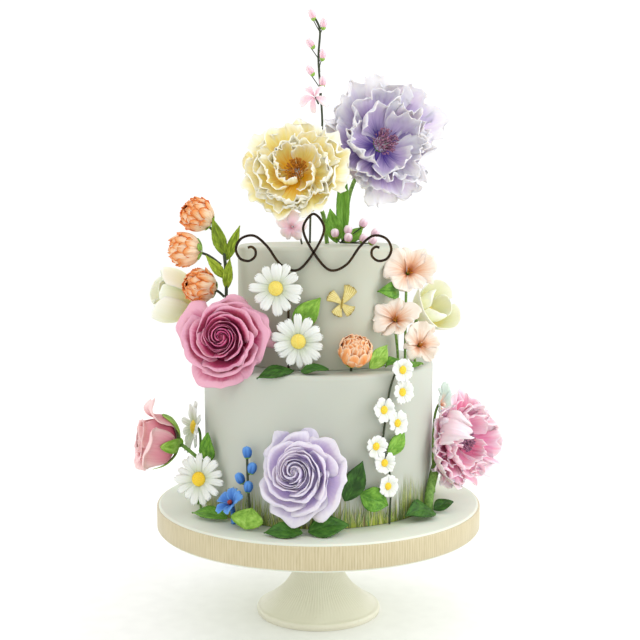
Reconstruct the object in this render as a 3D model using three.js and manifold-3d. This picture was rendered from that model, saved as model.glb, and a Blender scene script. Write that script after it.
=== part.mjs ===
// Floral cake: two fondant tiers on a covered board with a pedestal foot, dressed with sugar flowers.
// Millimetres, +Z up. The origin is the middle of the foot's flat underside and the front faces -Y.
import * as THREE from 'three';
import { mergeVertices } from 'three/addons/utils/BufferGeometryUtils.js';
import Module from 'manifold-3d';

const wasm = await Module();
wasm.setup();

// Driving dimensions
const FOOT_RADIUS = 59;
const FOOT_HEIGHT = 86;
const FOOT_NECK_RADIUS = 19.5;
const FOOT_HEAD_RADIUS = 30;
const BOARD_RADIUS = 152.5;
const BOARD_THICKNESS = 24;
const BOARD_EDGE_ROUND = 2.5;
const RIBBON_THICKNESS = 1.2;
const RIBBON_INSET = 1.5;
const LOWER_RADIUS = 107;
const LOWER_HEIGHT = 133;
const UPPER_RADIUS = 75;
const UPPER_HEIGHT = 108;
const TIER_EDGE_ROUND = 4;
const GAP = 0.3;
const LEAF_THICKNESS = 1.3;

// Levels that follow from them
const BOARD_BOTTOM = FOOT_HEIGHT + GAP;
const BOARD_TOP = FOOT_HEIGHT + BOARD_THICKNESS;
const LOWER_BOTTOM = BOARD_TOP + GAP;
const LOWER_TOP = BOARD_TOP + LOWER_HEIGHT;
const UPPER_BOTTOM = LOWER_TOP + GAP;
const UPPER_TOP = LOWER_TOP + UPPER_HEIGHT;
const ON_BOARD = BOARD_TOP + 2 * GAP;
const ON_SHELF = LOWER_TOP + 2 * GAP;
const ON_TOP = UPPER_TOP + 2 * GAP;

// How fine the round pieces are
const TIER_SEGMENTS = 36;
const FOOT_SEGMENTS = 24;
const STEM_SIDES = 4;
const MERGE_DISTANCE = 1e-4;
const SMOOTHING = 0.37;
const UNEVENNESS = 0.04;

// Colours
const COLOURS = {
  fondant: 0xf3f3ee,
  ribbon: 0xded0ac,
  foot: 0xd4d0b6,
  yellowPetal: 0xf3e09a,
  purplePetal: 0xb9a7dc,
  pinkPetal: 0xd9799f,
  magentaPetal: 0xc2547f,
  lilacPetal: 0xc3aee0,
  rosebudPetal: 0xd98aa4,
  peachPetal: 0xf0a878,
  whitePetal: 0xf6f6f1,
  bluePetal: 0x4682c8,
  creamPetal: 0xf4eeb0,
  lilyPetal: 0xf6cfb0,
  palePink: 0xe9c4d4,
  darkLeaf: 0x326e32,
  midLeaf: 0x5aa050,
  limeLeaf: 0x82be32,
  topperMetal: 0x3a2a20,
  gold: 0xe6cf7a,
};

const radians = THREE.MathUtils.degToRad;
const cake = new THREE.Group();

// Repeatable unevenness, since no two sugar petals are cut alike
let drawn = 20;
function uneven(spread) {
  drawn = (drawn * 1103515245 + 12345) % 2147483648;
  return 1 + spread * (drawn / 1073741824 - 1);
}

function finish(colour, roughness = 0.7, metalness = 0) {
  return new THREE.MeshStandardMaterial({ color: colour, roughness, metalness });
}

function onlyPositions(geometry) {
  geometry.deleteAttribute('normal');
  geometry.deleteAttribute('uv');
  return mergeVertices(geometry, MERGE_DISTANCE);
}

function addPiece(name, geometry, material, placement = new THREE.Matrix4()) {
  const mesh = new THREE.Mesh(geometry, material);
  mesh.name = name;
  placement.decompose(mesh.position, mesh.quaternion, mesh.scale);
  cake.add(mesh);
}

// From three.js geometry to a manifold solid and back
function solid(geometry) {
  const merged = onlyPositions(geometry);
  const corners = Array.from(merged.index.array);
  const triangles = [];
  for (let i = 0; i < corners.length; i += 3) {
    const [a, b, c] = corners.slice(i, i + 3);
    if (a !== b && b !== c && c !== a) triangles.push(a, b, c);
  }
  return new wasm.Manifold(new wasm.Mesh({
    numProp: 3,
    vertProperties: new Float32Array(merged.attributes.position.array),
    triVerts: new Uint32Array(triangles),
  }));
}

function largestBody(joined) {
  const bodies = joined.decompose();
  return bodies.reduce((best, body) => (body.volume() > best.volume() ? body : best));
}

function join(solids, smoothing = SMOOTHING) {
  const joined = wasm.Manifold.union(solids);
  const mesh = largestBody(joined.simplify(smoothing)).getMesh();
  const geometry = new THREE.BufferGeometry();
  geometry.setAttribute('position', new THREE.BufferAttribute(new Float32Array(mesh.vertProperties), 3));
  geometry.setIndex(Array.from(mesh.triVerts));
  return geometry;
}

// Where a piece sits: its middle, and the way it faces in degrees round from the front and up
function facing(centre, azimuth, elevation = 0) {
  const round = radians(azimuth);
  const up = radians(elevation);
  const level = Math.cos(up);
  const outward = new THREE.Vector3(Math.sin(round) * level, -Math.cos(round) * level, Math.sin(up));
  const across = new THREE.Vector3(0, 0, 1).cross(outward).normalize();
  const upward = new THREE.Vector3().crossVectors(outward, across);
  return new THREE.Matrix4().makeBasis(across, upward, outward).setPosition(...centre);
}

// A point beside a tier or over the board, by degrees round from the front
function roundPoint(azimuth, radius, height) {
  return [radius * Math.sin(radians(azimuth)), -radius * Math.cos(radians(azimuth)), height];
}

function lathe(profile, segments) {
  const outline = profile.map(([radius, height]) => new THREE.Vector2(radius, height));
  return onlyPositions(new THREE.LatheGeometry(outline, segments).rotateX(Math.PI / 2));
}

function arc(centreRadius, centreHeight, bend, fromDegrees, toDegrees, steps) {
  return Array.from({ length: steps + 1 }, (_, i) => {
    const angle = radians(fromDegrees + ((toDegrees - fromDegrees) * i) / steps);
    return [centreRadius + bend * Math.cos(angle), centreHeight + bend * Math.sin(angle)];
  });
}

function ellipsoid(radius, halfDepth, height = 0, sides = 8, rings = 5) {
  const ball = new THREE.SphereGeometry(1, sides, rings).rotateX(Math.PI / 2);
  return solid(ball.scale(radius, radius, halfDepth).translate(0, 0, height));
}

// A wire or stem of round section through points, in millimetres
function stem(points, radius, steps = 2 * points.length, sides = STEM_SIDES) {
  const route = new THREE.CatmullRomCurve3(points.map((point) => new THREE.Vector3(...point)));
  const corners = Array.from({ length: sides }, (_, i) => {
    const angle = (2 * Math.PI * i) / sides;
    return new THREE.Vector2(radius * Math.cos(angle), radius * Math.sin(angle));
  });
  return solid(new THREE.ExtrudeGeometry(new THREE.Shape(corners), { steps, extrudePath: route }));
}

// The same, with points given in the cake's frame and the solid in the placed flower's own frame
function stemFor(placement, points, radius, steps) {
  const inward = placement.clone().invert();
  const local = points.map((point) => new THREE.Vector3(...point).applyMatrix4(inward).toArray());
  return stem(local, radius, steps);
}

// A thin closed sheet over a grid of points: both faces are split alike and meet along the border
function sheet(grid, thickness) {
  const rows = grid.length - 1;
  const columns = grid[0].length - 1;
  const normalAt = (i, j) => {
    const along = grid[i + 1][j].clone().sub(grid[i - 1][j]);
    const sideways = grid[i][j + 1].clone().sub(grid[i][j - 1]);
    return along.cross(sideways).normalize();
  };
  const vertices = [];
  const front = [];
  const back = [];
  for (let i = 0; i <= rows; i += 1) {
    for (let j = 0; j <= columns; j += 1) {
      const onBorder = i === 0 || i === rows || j === 0 || j === columns;
      const lift = onBorder ? new THREE.Vector3() : normalAt(i, j).multiplyScalar(thickness / 2);
      front.push(vertices.length);
      vertices.push(grid[i][j].clone().add(lift));
      if (!onBorder) vertices.push(grid[i][j].clone().sub(lift));
      back.push(vertices.length - 1);
    }
  }
  const index = [];
  for (let i = 0; i < rows; i += 1) {
    for (let j = 0; j < columns; j += 1) {
      const a = i * (columns + 1) + j;
      const b = a + 1;
      const c = a + columns + 1;
      const d = c + 1;
      const leaning = (i < rows / 2) === (j < columns / 2);
      const halves = leaning ? [[a, c, d], [a, d, b]] : [[a, c, b], [b, c, d]];
      for (const [p, q, r] of halves) {
        index.push(front[p], front[q], front[r]);
        index.push(back[r], back[q], back[p]);
      }
    }
  }
  const geometry = new THREE.BufferGeometry().setFromPoints(vertices);
  geometry.setIndex(index);
  return geometry;
}

// The grid of a flat strip, from u = 0 to 1 along it and v = -1 to 1 across it
function stripGrid(rows, columns, pointAt) {
  return Array.from({ length: rows + 1 }, (_, i) => (
    Array.from({ length: columns + 1 }, (__, j) => pointAt(i / rows, (2 * j) / columns - 1))
  ));
}

// How far a ring swings out at a share of the way across one petal: broad petals with narrow
// notches between them, petals that lap over the next one, or waves
const notched = (share) => 1 - 2 * Math.abs(2 * share - 1) ** 4;
const lapped = (share) => 1 - 2 * share;
const waved = (share) => -Math.cos(2 * Math.PI * share);

// A flower's body in its own frame, facing +Z. The rings run from the middle of its face out over
// the ridges and grooves of its whorls to the rim, and back behind it to the middle again. A ring
// has its radius and height, and its petals swing it `out` (a share of its radius) and `up`.
function flowerBody(columns, top, rings, bottom) {
  const vertices = [new THREE.Vector3(0, 0, top)];
  rings.forEach(([radius, height, petals = 1, out = 0, up = 0, swing = lapped, turn = 0]) => {
    const sizes = Array.from({ length: petals }, () => uneven(UNEVENNESS));
    for (let j = 0; j < columns; j += 1) {
      const across = (((j + turn) * petals) / columns) % petals;
      const petal = Math.floor(across);
      const reach = radius * sizes[petal] * (1 + out * swing(across - petal));
      const angle = (2 * Math.PI * j) / columns;
      const rise = height + up * swing(across - petal);
      vertices.push(new THREE.Vector3(reach * Math.cos(angle), reach * Math.sin(angle), rise));
    }
  });
  vertices.push(new THREE.Vector3(0, 0, bottom));
  const index = [];
  const last = vertices.length - 1;
  const lastRing = 1 + (rings.length - 1) * columns;
  for (let j = 0; j < columns; j += 1) {
    const next = (j + 1) % columns;
    index.push(0, 1 + j, 1 + next);
    index.push(last, lastRing + next, lastRing + j);
    for (let i = 0; i < rings.length - 1; i += 1) {
      const inner = 1 + i * columns;
      const outer = inner + columns;
      index.push(inner + j, outer + j, outer + next);
      index.push(inner + j, outer + next, inner + next);
    }
  }
  const geometry = new THREE.BufferGeometry().setFromPoints(vertices);
  geometry.setIndex(index);
  return solid(geometry);
}

// The same with radii, heights and swings given as shares of the flower's size
function scaledBody(size, columns, top, rings, bottom) {
  const scaled = rings.map(([radius, height, petals, out, up = 0, ...rest]) => (
    [radius * size, height * size, petals, out, up * size, ...rest]
  ));
  return flowerBody(columns, top * size, scaled, bottom * size);
}

// Adds a flower: its solids are in its own frame, facing +Z, and its stems in the cake's frame
function addFlower(name, placement, solids, colour, stems = []) {
  const wires = stems.map(({ points, radius, steps }) => stemFor(placement, points, radius, steps));
  addPiece(name, join([...solids, ...wires]), finish(colour), placement);
}

// A straight peg behind a flower, inward along its axis, in the flower's frame
function peg(radius, length, height = 0) {
  return stem([[0, 0, height], [0, 0, height - length / 2], [0, 0, height - length]], radius, 1);
}

// Foot, board, ribbon and tiers
function addFoot() {
  const rim = 7;
  const flareHeight = 57;
  const headHeight = FOOT_HEIGHT - flareHeight;
  const flare = [[47, 13], [40.5, 18], [32.5, 25.5], [26.6, 34], [21.8, 45]];
  const profile = [
    [0, 0],
    ...arc(FOOT_RADIUS - rim / 2, rim / 2, rim / 2, -90, 90, 3),
    ...flare,
    [FOOT_NECK_RADIUS, flareHeight],
    [FOOT_NECK_RADIUS + 2.5, flareHeight + headHeight * 0.5],
    [FOOT_HEAD_RADIUS, FOOT_HEIGHT],
    [0, FOOT_HEIGHT],
  ];
  addPiece('stand_foot', lathe(profile, FOOT_SEGMENTS), finish(COLOURS.foot, 0.5));
}

function addBoard() {
  const radius = BOARD_RADIUS - RIBBON_THICKNESS - GAP;
  const round = BOARD_EDGE_ROUND;
  const profile = [
    [0, BOARD_BOTTOM],
    ...arc(radius - round, BOARD_BOTTOM + round, round, -90, 0, 1),
    ...arc(radius - round, BOARD_TOP - round, round, 0, 90, 2),
    [0, BOARD_TOP],
  ];
  addPiece('cake_board', lathe(profile, TIER_SEGMENTS), finish(COLOURS.fondant, 0.6));
}

function addRibbon() {
  const inner = BOARD_RADIUS - RIBBON_THICKNESS;
  const low = BOARD_BOTTOM + RIBBON_INSET;
  const high = BOARD_TOP - RIBBON_INSET;
  const profile = [[inner, low], [BOARD_RADIUS, low], [BOARD_RADIUS, high], [inner, high], [inner, low]];
  addPiece('board_ribbon', lathe(profile, TIER_SEGMENTS), finish(COLOURS.ribbon, 0.5));
}

function addTier(name, radius, bottom, top) {
  const profile = [
    [0, bottom],
    [radius, bottom],
    ...arc(radius - TIER_EDGE_ROUND, top - TIER_EDGE_ROUND, TIER_EDGE_ROUND, 0, 90, 2),
    [0, top],
  ];
  addPiece(name, lathe(profile, TIER_SEGMENTS), finish(COLOURS.fondant, 0.6));
}

// Peonies: a dome of stamens inside ruffled whorls, open and flat or cupped and deep
function peony(size, depth) {
  return scaledBody(size, 28, 0.1 + 0.6 * depth, [
    [0.14, 0.08 + 0.6 * depth],
    [0.2, 0.5 * depth],
    [0.36, 1.1 * depth, 7, 0.1, 0.06, lapped],
    [0.43, 0.62 * depth],
    [0.62, 0.98 * depth, 7, 0.12, 0.07, lapped, 2],
    [0.68, 0.5 * depth],
    [0.98, 0.66 * depth, 14, 0.05, 0.06, waved],
    [0.95, 0.5 * depth, 14, 0.05, 0.06, waved],
    [0.52, 0.02],
    [0.14, -0.04],
  ], -0.06);
}

function addPeonies() {
  addFlower(
    'peony_yellow',
    facing([-19, -15, 416], -5, 20),
    [peony(47, 0.42)],
    COLOURS.yellowPetal,
    [{ points: [[-18, -12, 414], [-8, -6, 398], [4, -3, 380], [8, -4, ON_TOP]], radius: 2 }],
  );
  addFlower(
    'peony_purple',
    facing([59, 24, 444], 15, 10),
    [peony(56, 0.5)],
    COLOURS.purplePetal,
    [{ points: [[58.5, 29, 442], [44, 28, 428], [29, 16, 396], [25, 12, ON_TOP]], radius: 2 }],
  );
  addFlower(
    'peony_pink',
    facing([129.5, -12, 168], 42, 5),
    [peony(45, 0.56)],
    COLOURS.pinkPetal,
    [{
      points: [[124, -11, 168], [114, -18, 158], [102, -47, 130], [100, -52, ON_BOARD + 1.2]],
      radius: 4.2,
    }],
  );
}

// Roses: a rolled bud inside whorls that open further and further
function rose(size) {
  return scaledBody(size, 20, 0.62, [
    [0.07, 0.66, 2, 0.2, 0.02],
    [0.11, 0.55],
    [0.2, 0.65, 4, 0.09, 0.02],
    [0.24, 0.5],
    [0.35, 0.6, 5, 0.08, 0.03, lapped, 1],
    [0.39, 0.42],
    [0.53, 0.53, 5, 0.07, 0.03, lapped, 3],
    [0.58, 0.34],
    [0.74, 0.42, 5, 0.06, 0.03, lapped, 0],
    [0.78, 0.24],
    [0.96, 0.24, 5, 0.05, 0.04, lapped, 2],
    [0.93, 0.18, 5, 0.05, 0.04, lapped, 2],
    [0.5, -0.02],
    [0.16, -0.1],
  ], -0.12);
}

function addRoses() {
  addFlower(
    'rose_magenta',
    facing([-80.8, -73.8, 273.8], -15, 5),
    [rose(41)],
    COLOURS.magentaPetal,
    [{
      points: [[-80, -71, 272.5], [-77, -56, 266], [-76, -46, 254], [-75.7, -45.5, ON_SHELF + 0.4]],
      radius: 2.5,
    }],
  );
  addFlower(
    'rose_lilac',
    facing([-13, -114.2, 160], -10, 10),
    [rose(39), peg(2.5, 6.2, 0)],
    COLOURS.lilacPetal,
  );
  addRosebud();
}

function rosebud(size) {
  return scaledBody(size, 15, 0.96, [
    [0.1, 0.98, 3, 0.1],
    [0.16, 0.86],
    [0.28, 0.98, 3, 0.1, 0.02],
    [0.33, 0.84],
    [0.42, 0.92, 5, 0.12, 0.04],
    [0.5, 0.68],
    [0.78, 0.74, 5, 0.18, 0.08],
    [0.6, 0.52, 5, 0.06],
    [0.55, 0.3, 5, 0.06],
    [0.42, 0.08, 5, 0.08, 0.04, notched],
    [0.18, -0.06],
  ], -0.1);
}

function addRosebud() {
  addFlower('rosebud_pink', facing([-131, -32, 170.5], -76, 10), [rosebud(35)], COLOURS.rosebudPetal, [
    { points: [[-130, -32, 171], [-120, -37, 165], [-110, -42, 158], [-99.1, -43.6, 150]], radius: 1.8 },
  ]);
}

// Ranunculus: balls of overlapping incurved petals, eight to a row
function ranunculus(radius) {
  const petals = 8;
  const relief = 0.07;
  const ball = new THREE.SphereGeometry(radius, 2 * petals, petals).rotateX(Math.PI / 2);
  const points = ball.attributes.position;
  const point = new THREE.Vector3();
  for (let i = 0; i < points.count; i += 1) {
    point.fromBufferAttribute(points, i);
    const round = Math.atan2(point.y, point.x);
    const down = Math.acos(THREE.MathUtils.clamp(point.z / radius, -1, 1));
    const bulge = 1 + relief * Math.sin(down) * Math.cos(petals * (round + down));
    points.setXYZ(i, point.x * bulge, point.y * bulge, point.z * bulge);
  }
  return [solid(ball)];
}

function addRanunculus() {
  const ballRadius = 15.5;
  const twig = 1.2;
  addFlower('ranunculus_high', facing([-109.3, -30, 378.6], -60, 30), ranunculus(ballRadius),
    COLOURS.peachPetal,
    [{ points: [[-104, -27, 374], [-98, -28, 367], [-92.5, -34, 362]], radius: twig }]);
  addFlower('ranunculus_middle', facing([-120.4, -35, 347.4], -85, 0), ranunculus(ballRadius),
    COLOURS.peachPetal,
    [{ points: [[-112, -35, 347], [-101, -35, 343], [-87.5, -38.5, 334]], radius: twig }]);
  addFlower('ranunculus_low', facing([-106, -45, 315.3], -50, 10), ranunculus(ballRadius), COLOURS.peachPetal,
    [{ points: [[-99, -42, 314], [-92, -40, 311], [-86.6, -41.5, 306]], radius: twig }]);
  addFlower('ranunculus_front', facing([32.1, -89, 263], 15, 20),
    [...ranunculus(ballRadius), peg(twig, 13, 0)], COLOURS.peachPetal,
    [{ points: [[30, -84, 256], [29, -81, 250], [28.5, -80, ON_SHELF]], radius: twig }]);
}

// Daisies: flat straps round a domed eye
function daisy(radius) {
  return scaledBody(radius, 36, 0.2, [
    [0.24, 0.12],
    [0.31, 0.03],
    [0.68, 0.05, 12, 0.46, 0, notched],
    [0.65, -0.02, 12, 0.46, 0, notched],
    [0.28, -0.06],
  ], -0.12);
}

function addDaisies() {
  const radius = 24.5;
  addFlower('daisy_upper', facing([-36.4, -80.5, 316], -12, 0), [daisy(radius), peg(1.2, 11.5, 0)],
    COLOURS.whitePetal);
  addFlower('daisy_lower', facing([-17, -86.5, 270.5], -6, 4), [daisy(radius), peg(1.2, 12, 0)],
    COLOURS.whitePetal);
  addFlower('daisy_board', facing([-106.1, -65, 144], -20, 10), [daisy(radius)], COLOURS.whitePetal,
    [{ points: [[-106, -64, 144], [-106, -59, 136], [-106, -58, 124], [-106, -58, ON_BOARD]], radius: 1.2 }]);
  addFlower('daisy_side', facing([-114, -19, 183], -76, 6), [daisy(radius)], COLOURS.whitePetal,
    [{
      points: [
        [-113.5, -19, 183], [-110, -21, 177], [-109.5, -23, 160], [-110.5, -25, 135], [-112, -27, ON_BOARD],
      ],
      radius: 1,
    }]);
}

// Little five-petalled blossoms climbing a vine: degrees round, height, and how far each looks aside
const BLOSSOMS = [
  [39.2, 246, -12],
  [39.2, 226.5, -20],
  [29.2, 213, 6],
  [36.5, 200, -8],
  [25.4, 182, 8],
  [29.7, 166.6, -10],
  [31.6, 145.7, -4],
];

function blossom(radius) {
  return scaledBody(radius, 15, 0.26, [
    [0.26, 0.16],
    [0.32, 0.06],
    [0.84, 0.2, 5, 0.18, 0.02, notched],
    [0.8, 0.12, 5, 0.18, 0.02, notched],
    [0.22, -0.08],
  ], -0.12);
}

function addBlossoms() {
  const radius = 10;
  const standOff = LOWER_RADIUS + 7;
  BLOSSOMS.forEach(([azimuth, height, aside], i) => {
    const reachesTier = height < LOWER_TOP;
    const pegLength = reachesTier ? standOff - LOWER_RADIUS - 2 * GAP : 2;
    addFlower(`blossom_${i + 1}`, facing(roundPoint(azimuth, standOff, height), azimuth + aside / 4, 4),
      [blossom(radius * (1 - 0.02 * i)), peg(0.9, pegLength, 0)], COLOURS.whitePetal);
  });
}

function addVine() {
  const beside = LOWER_RADIUS + 2;
  const route = [
    roundPoint(34, beside + 2, ON_BOARD),
    roundPoint(35.5, beside, 145),
    roundPoint(33.5, beside, 166),
    roundPoint(31, beside, 184),
    roundPoint(32.5, beside, 206),
    roundPoint(34.5, beside, 228),
    roundPoint(37.5, beside + 1.2, 245),
  ];
  addPiece('blossom_vine', join([stem(route, 0.9, 13)]), finish(COLOURS.midLeaf));
}

// Blue buds on one stalk, and the open blue bloom beside it
function addBlueFlowers() {
  const foot = roundPoint(-31, 113, ON_BOARD);
  const buds = [[-61.4, -98.5, 175.7], [-57, -101, 162.3], [-67.9, -96, 152.3], [-60.3, -101, 146]];
  const stalk = [foot, [-60, -98.5, 135], [-61, -98.5, 155], [-61.4, -98.5, 174]];
  const twigs = buds.slice(1).map(([x, y, z]) => stem([[-60.6, -98.5, z - 9], [x, y, z - 2]], 0.8, 2));
  const balls = buds.map(([x, y, z]) => ellipsoid(4.4, 5.4, 0, 6, 3).translate([x, y, z]));
  addPiece('blue_buds', join([stem(stalk, 1), ...twigs, ...balls]), finish(COLOURS.bluePetal));
  addFlower('blue_bloom', facing([-75, -95, 129], -50, 45), [blossom(13.5)], COLOURS.bluePetal, [
    { points: [[-75, -95, 128], [-74.4, -91, 120], [-74, -90, ON_BOARD]], radius: 1.6 },
  ]);
}

// Magnolias: cups of pointed petals, half closed or open by a share
function magnolia(size, opening) {
  return scaledBody(size, 18, 0.3, [
    [0.12, 0.4],
    [0.2 + opening / 2, 0.74, 3, 0.16, 0.12, waved, 3],
    [0.26 + opening / 2, 0.5, 3, 0.1, 0, waved, 3],
    [0.36 + opening, 0.84 - opening / 3, 3, 0.22, 0.12, waved],
    [0.5, 0.46, 3, 0.12, 0.02, waved],
    [0.42, 0.16, 3, 0.08, 0, waved],
    [0.14, -0.02],
  ], -0.04);
}

function addMagnolias() {
  addFlower('magnolia_left', facing([-117, 0, 297], -78, 15), [magnolia(42, 0.1)], COLOURS.creamPetal,
    [{ points: [[-116, 0, 296.5], [-104, 2, 288], [-97, 4, 268], [-95, 5, ON_SHELF]], radius: 1.6 }]);
  addFlower('magnolia_right', facing([97, 12, 286], 42, 22), [magnolia(35, 0.24)], COLOURS.creamPetal,
    [{ points: [[96, 12, 285], [92, 13, 275], [91, 13, 260], [91, 13, ON_SHELF]], radius: 1.6 }]);
}

// Lilies: short trumpets of five petals
function lily(size) {
  return scaledBody(size, 15, 0.2, [
    [0.12, 0.3, 5, 0.05],
    [0.42, 0.5, 5, 0.1, 0, notched],
    [0.8, 0.56, 5, 0.2, 0.02, notched],
    [0.78, 0.5, 5, 0.2, 0.02, notched],
    [0.3, 0.26],
    [0.14, 0],
  ], -0.06);
}

function addLilies() {
  const size = 22;
  const wire = 1;
  addFlower('lily_1', facing([80.5, -34, 325.5], 10, 20), [lily(size)], COLOURS.lilyPetal,
    [{ points: [[80.5, -33, 325], [80, -28, 312], [80, -22, 270], [80, -20, ON_SHELF]], radius: wire }]);
  addFlower('lily_2', facing([68.5, -51, 284], 0, 24), [lily(0.9 * size)], COLOURS.lilyPetal,
    [{ points: [[68.5, -50, 283], [69, -47, 276], [71, -46, 260], [72, -46, ON_SHELF]], radius: wire }]);
  addFlower('lily_3', facing([90, -38, 260], 20, 20), [lily(0.8 * size)], COLOURS.lilyPetal,
    [{ points: [[90, -37, 260], [88.5, -33, 254], [88, -32, ON_SHELF]], radius: wire }]);
  addFlower('blossom_back', facing([117, 30, 194], 64, 8), [
    blossom(21),
  ], COLOURS.whitePetal, [
    { points: [[116.5, 30, 194], [112.5, 26, 182], [110.5, 20, 150], [112, 16, ON_BOARD]], radius: 1 },
  ]);
}

// The tall spray of pink buds, and the two curled flowers on it
const SPRAY_BUDS = [
  [-5.8, 0, 560.4],
  [4.8, 0, 552.4],
  [-7.7, 0, 534.5],
  [3.8, 0, 524.6],
  [-7.7, 0, 510.2],
  [3.9, 0, 500.3],
];

function addBudSpray() {
  const mast = [
    [-8, 6, ON_TOP], [-6, 8, 400], [3, 6, 450], [2.5, 3, 485], [0, 0, 520], [1.5, 0, 545], [-2.5, 0, 556],
  ];
  const twig = ([x, y, z]) => stem([[x > 0 ? 0.8 : -0.5, y, z - 9], [x, y, z - 3]], 0.8, 1, 3);
  const twigs = SPRAY_BUDS.slice(1).map(twig);
  const tip = stem([[-2.5, 0, 555], [-5.8, 0, 559]], 0.8, 1);
  const buds = SPRAY_BUDS.map(([x, y, z]) => ellipsoid(3.4, 5.4, 0, 6, 3).translate([x, y, z]));
  addPiece('bud_spray', join([stem(mast, 1, 11), tip, ...twigs, ...buds]), finish(COLOURS.palePink));
}

function curledFlower(size) {
  return scaledBody(size, 15, 0.18, [
    [0.16, 0.2],
    [0.42, 0.34, 5, 0.3, 0.02, notched],
    [0.64, 0.06, 5, 0.5, -0.16, notched],
    [0.58, 0.02, 5, 0.5, -0.16, notched],
    [0.34, 0.24, 5, 0.3, 0.02, notched],
    [0.14, 0],
  ], -0.12);
}

function addCurledFlowers() {
  addFlower('spray_flower_high', facing([-2.5, -8, 484.7], -10, 10), [curledFlower(18)], COLOURS.palePink,
    [{ points: [[-2.5, -7, 484.7], [-1, -3, 482], [0, 0.5, 480]], radius: 0.8 }]);
  addFlower('spray_flower_low', facing([-22.8, -24, 368], -15, -12), [curledFlower(18)], COLOURS.palePink,
    [{ points: [[-22.8, -23, 368], [-21, -20, 365], [-17, -19, 359], [-15, -19, ON_TOP]], radius: 0.8 }]);
}

// Leaves: thin and wavy, from their foot to their tip
const LEAF_ROWS = 4;
const LEAF_COLUMNS = 2;

function leafShape(length, width, arch, fold, wave) {
  return (u, v) => {
    const half = Math.max(0.5, width * Math.sin(Math.PI * Math.min(1, Math.max(0, u)) ** 0.8));
    const ripple = wave * Math.sin(2.5 * Math.PI * u) * v;
    const lift = arch * Math.sin(Math.PI * u) + fold * Math.abs(v) * Math.sin(Math.PI * u) + ripple;
    return new THREE.Vector3(length * u, half * v, lift);
  };
}

function leafPlacement(from, to, outward) {
  const along = new THREE.Vector3(...to).sub(new THREE.Vector3(...from));
  const forward = along.clone().normalize();
  const across = new THREE.Vector3(...outward).cross(forward).normalize();
  const face = new THREE.Vector3().crossVectors(forward, across);
  const placement = new THREE.Matrix4().makeBasis(forward, across, face).setPosition(...from);
  return { placement, length: along.length() };
}

function leafSolid({ from, to, outward, width, arch = 2, fold = 1.2, wave = 0.8 }) {
  const { placement, length } = leafPlacement(from, to, outward);
  const grid = stripGrid(LEAF_ROWS, LEAF_COLUMNS, leafShape(length, width / 2, arch, fold, wave));
  return solid(sheet(grid, LEAF_THICKNESS).applyMatrix4(placement));
}

function addLeaf(name, leaf) {
  const { placement, length } = leafPlacement(leaf.from, leaf.to, leaf.outward);
  const { width, arch = 2, fold = 1.2, wave = 0.8, colour } = leaf;
  const grid = stripGrid(LEAF_ROWS, LEAF_COLUMNS, leafShape(length, width / 2, arch, fold, wave));
  addPiece(name, onlyPositions(sheet(grid, LEAF_THICKNESS)), finish(colour), placement);
}

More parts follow.
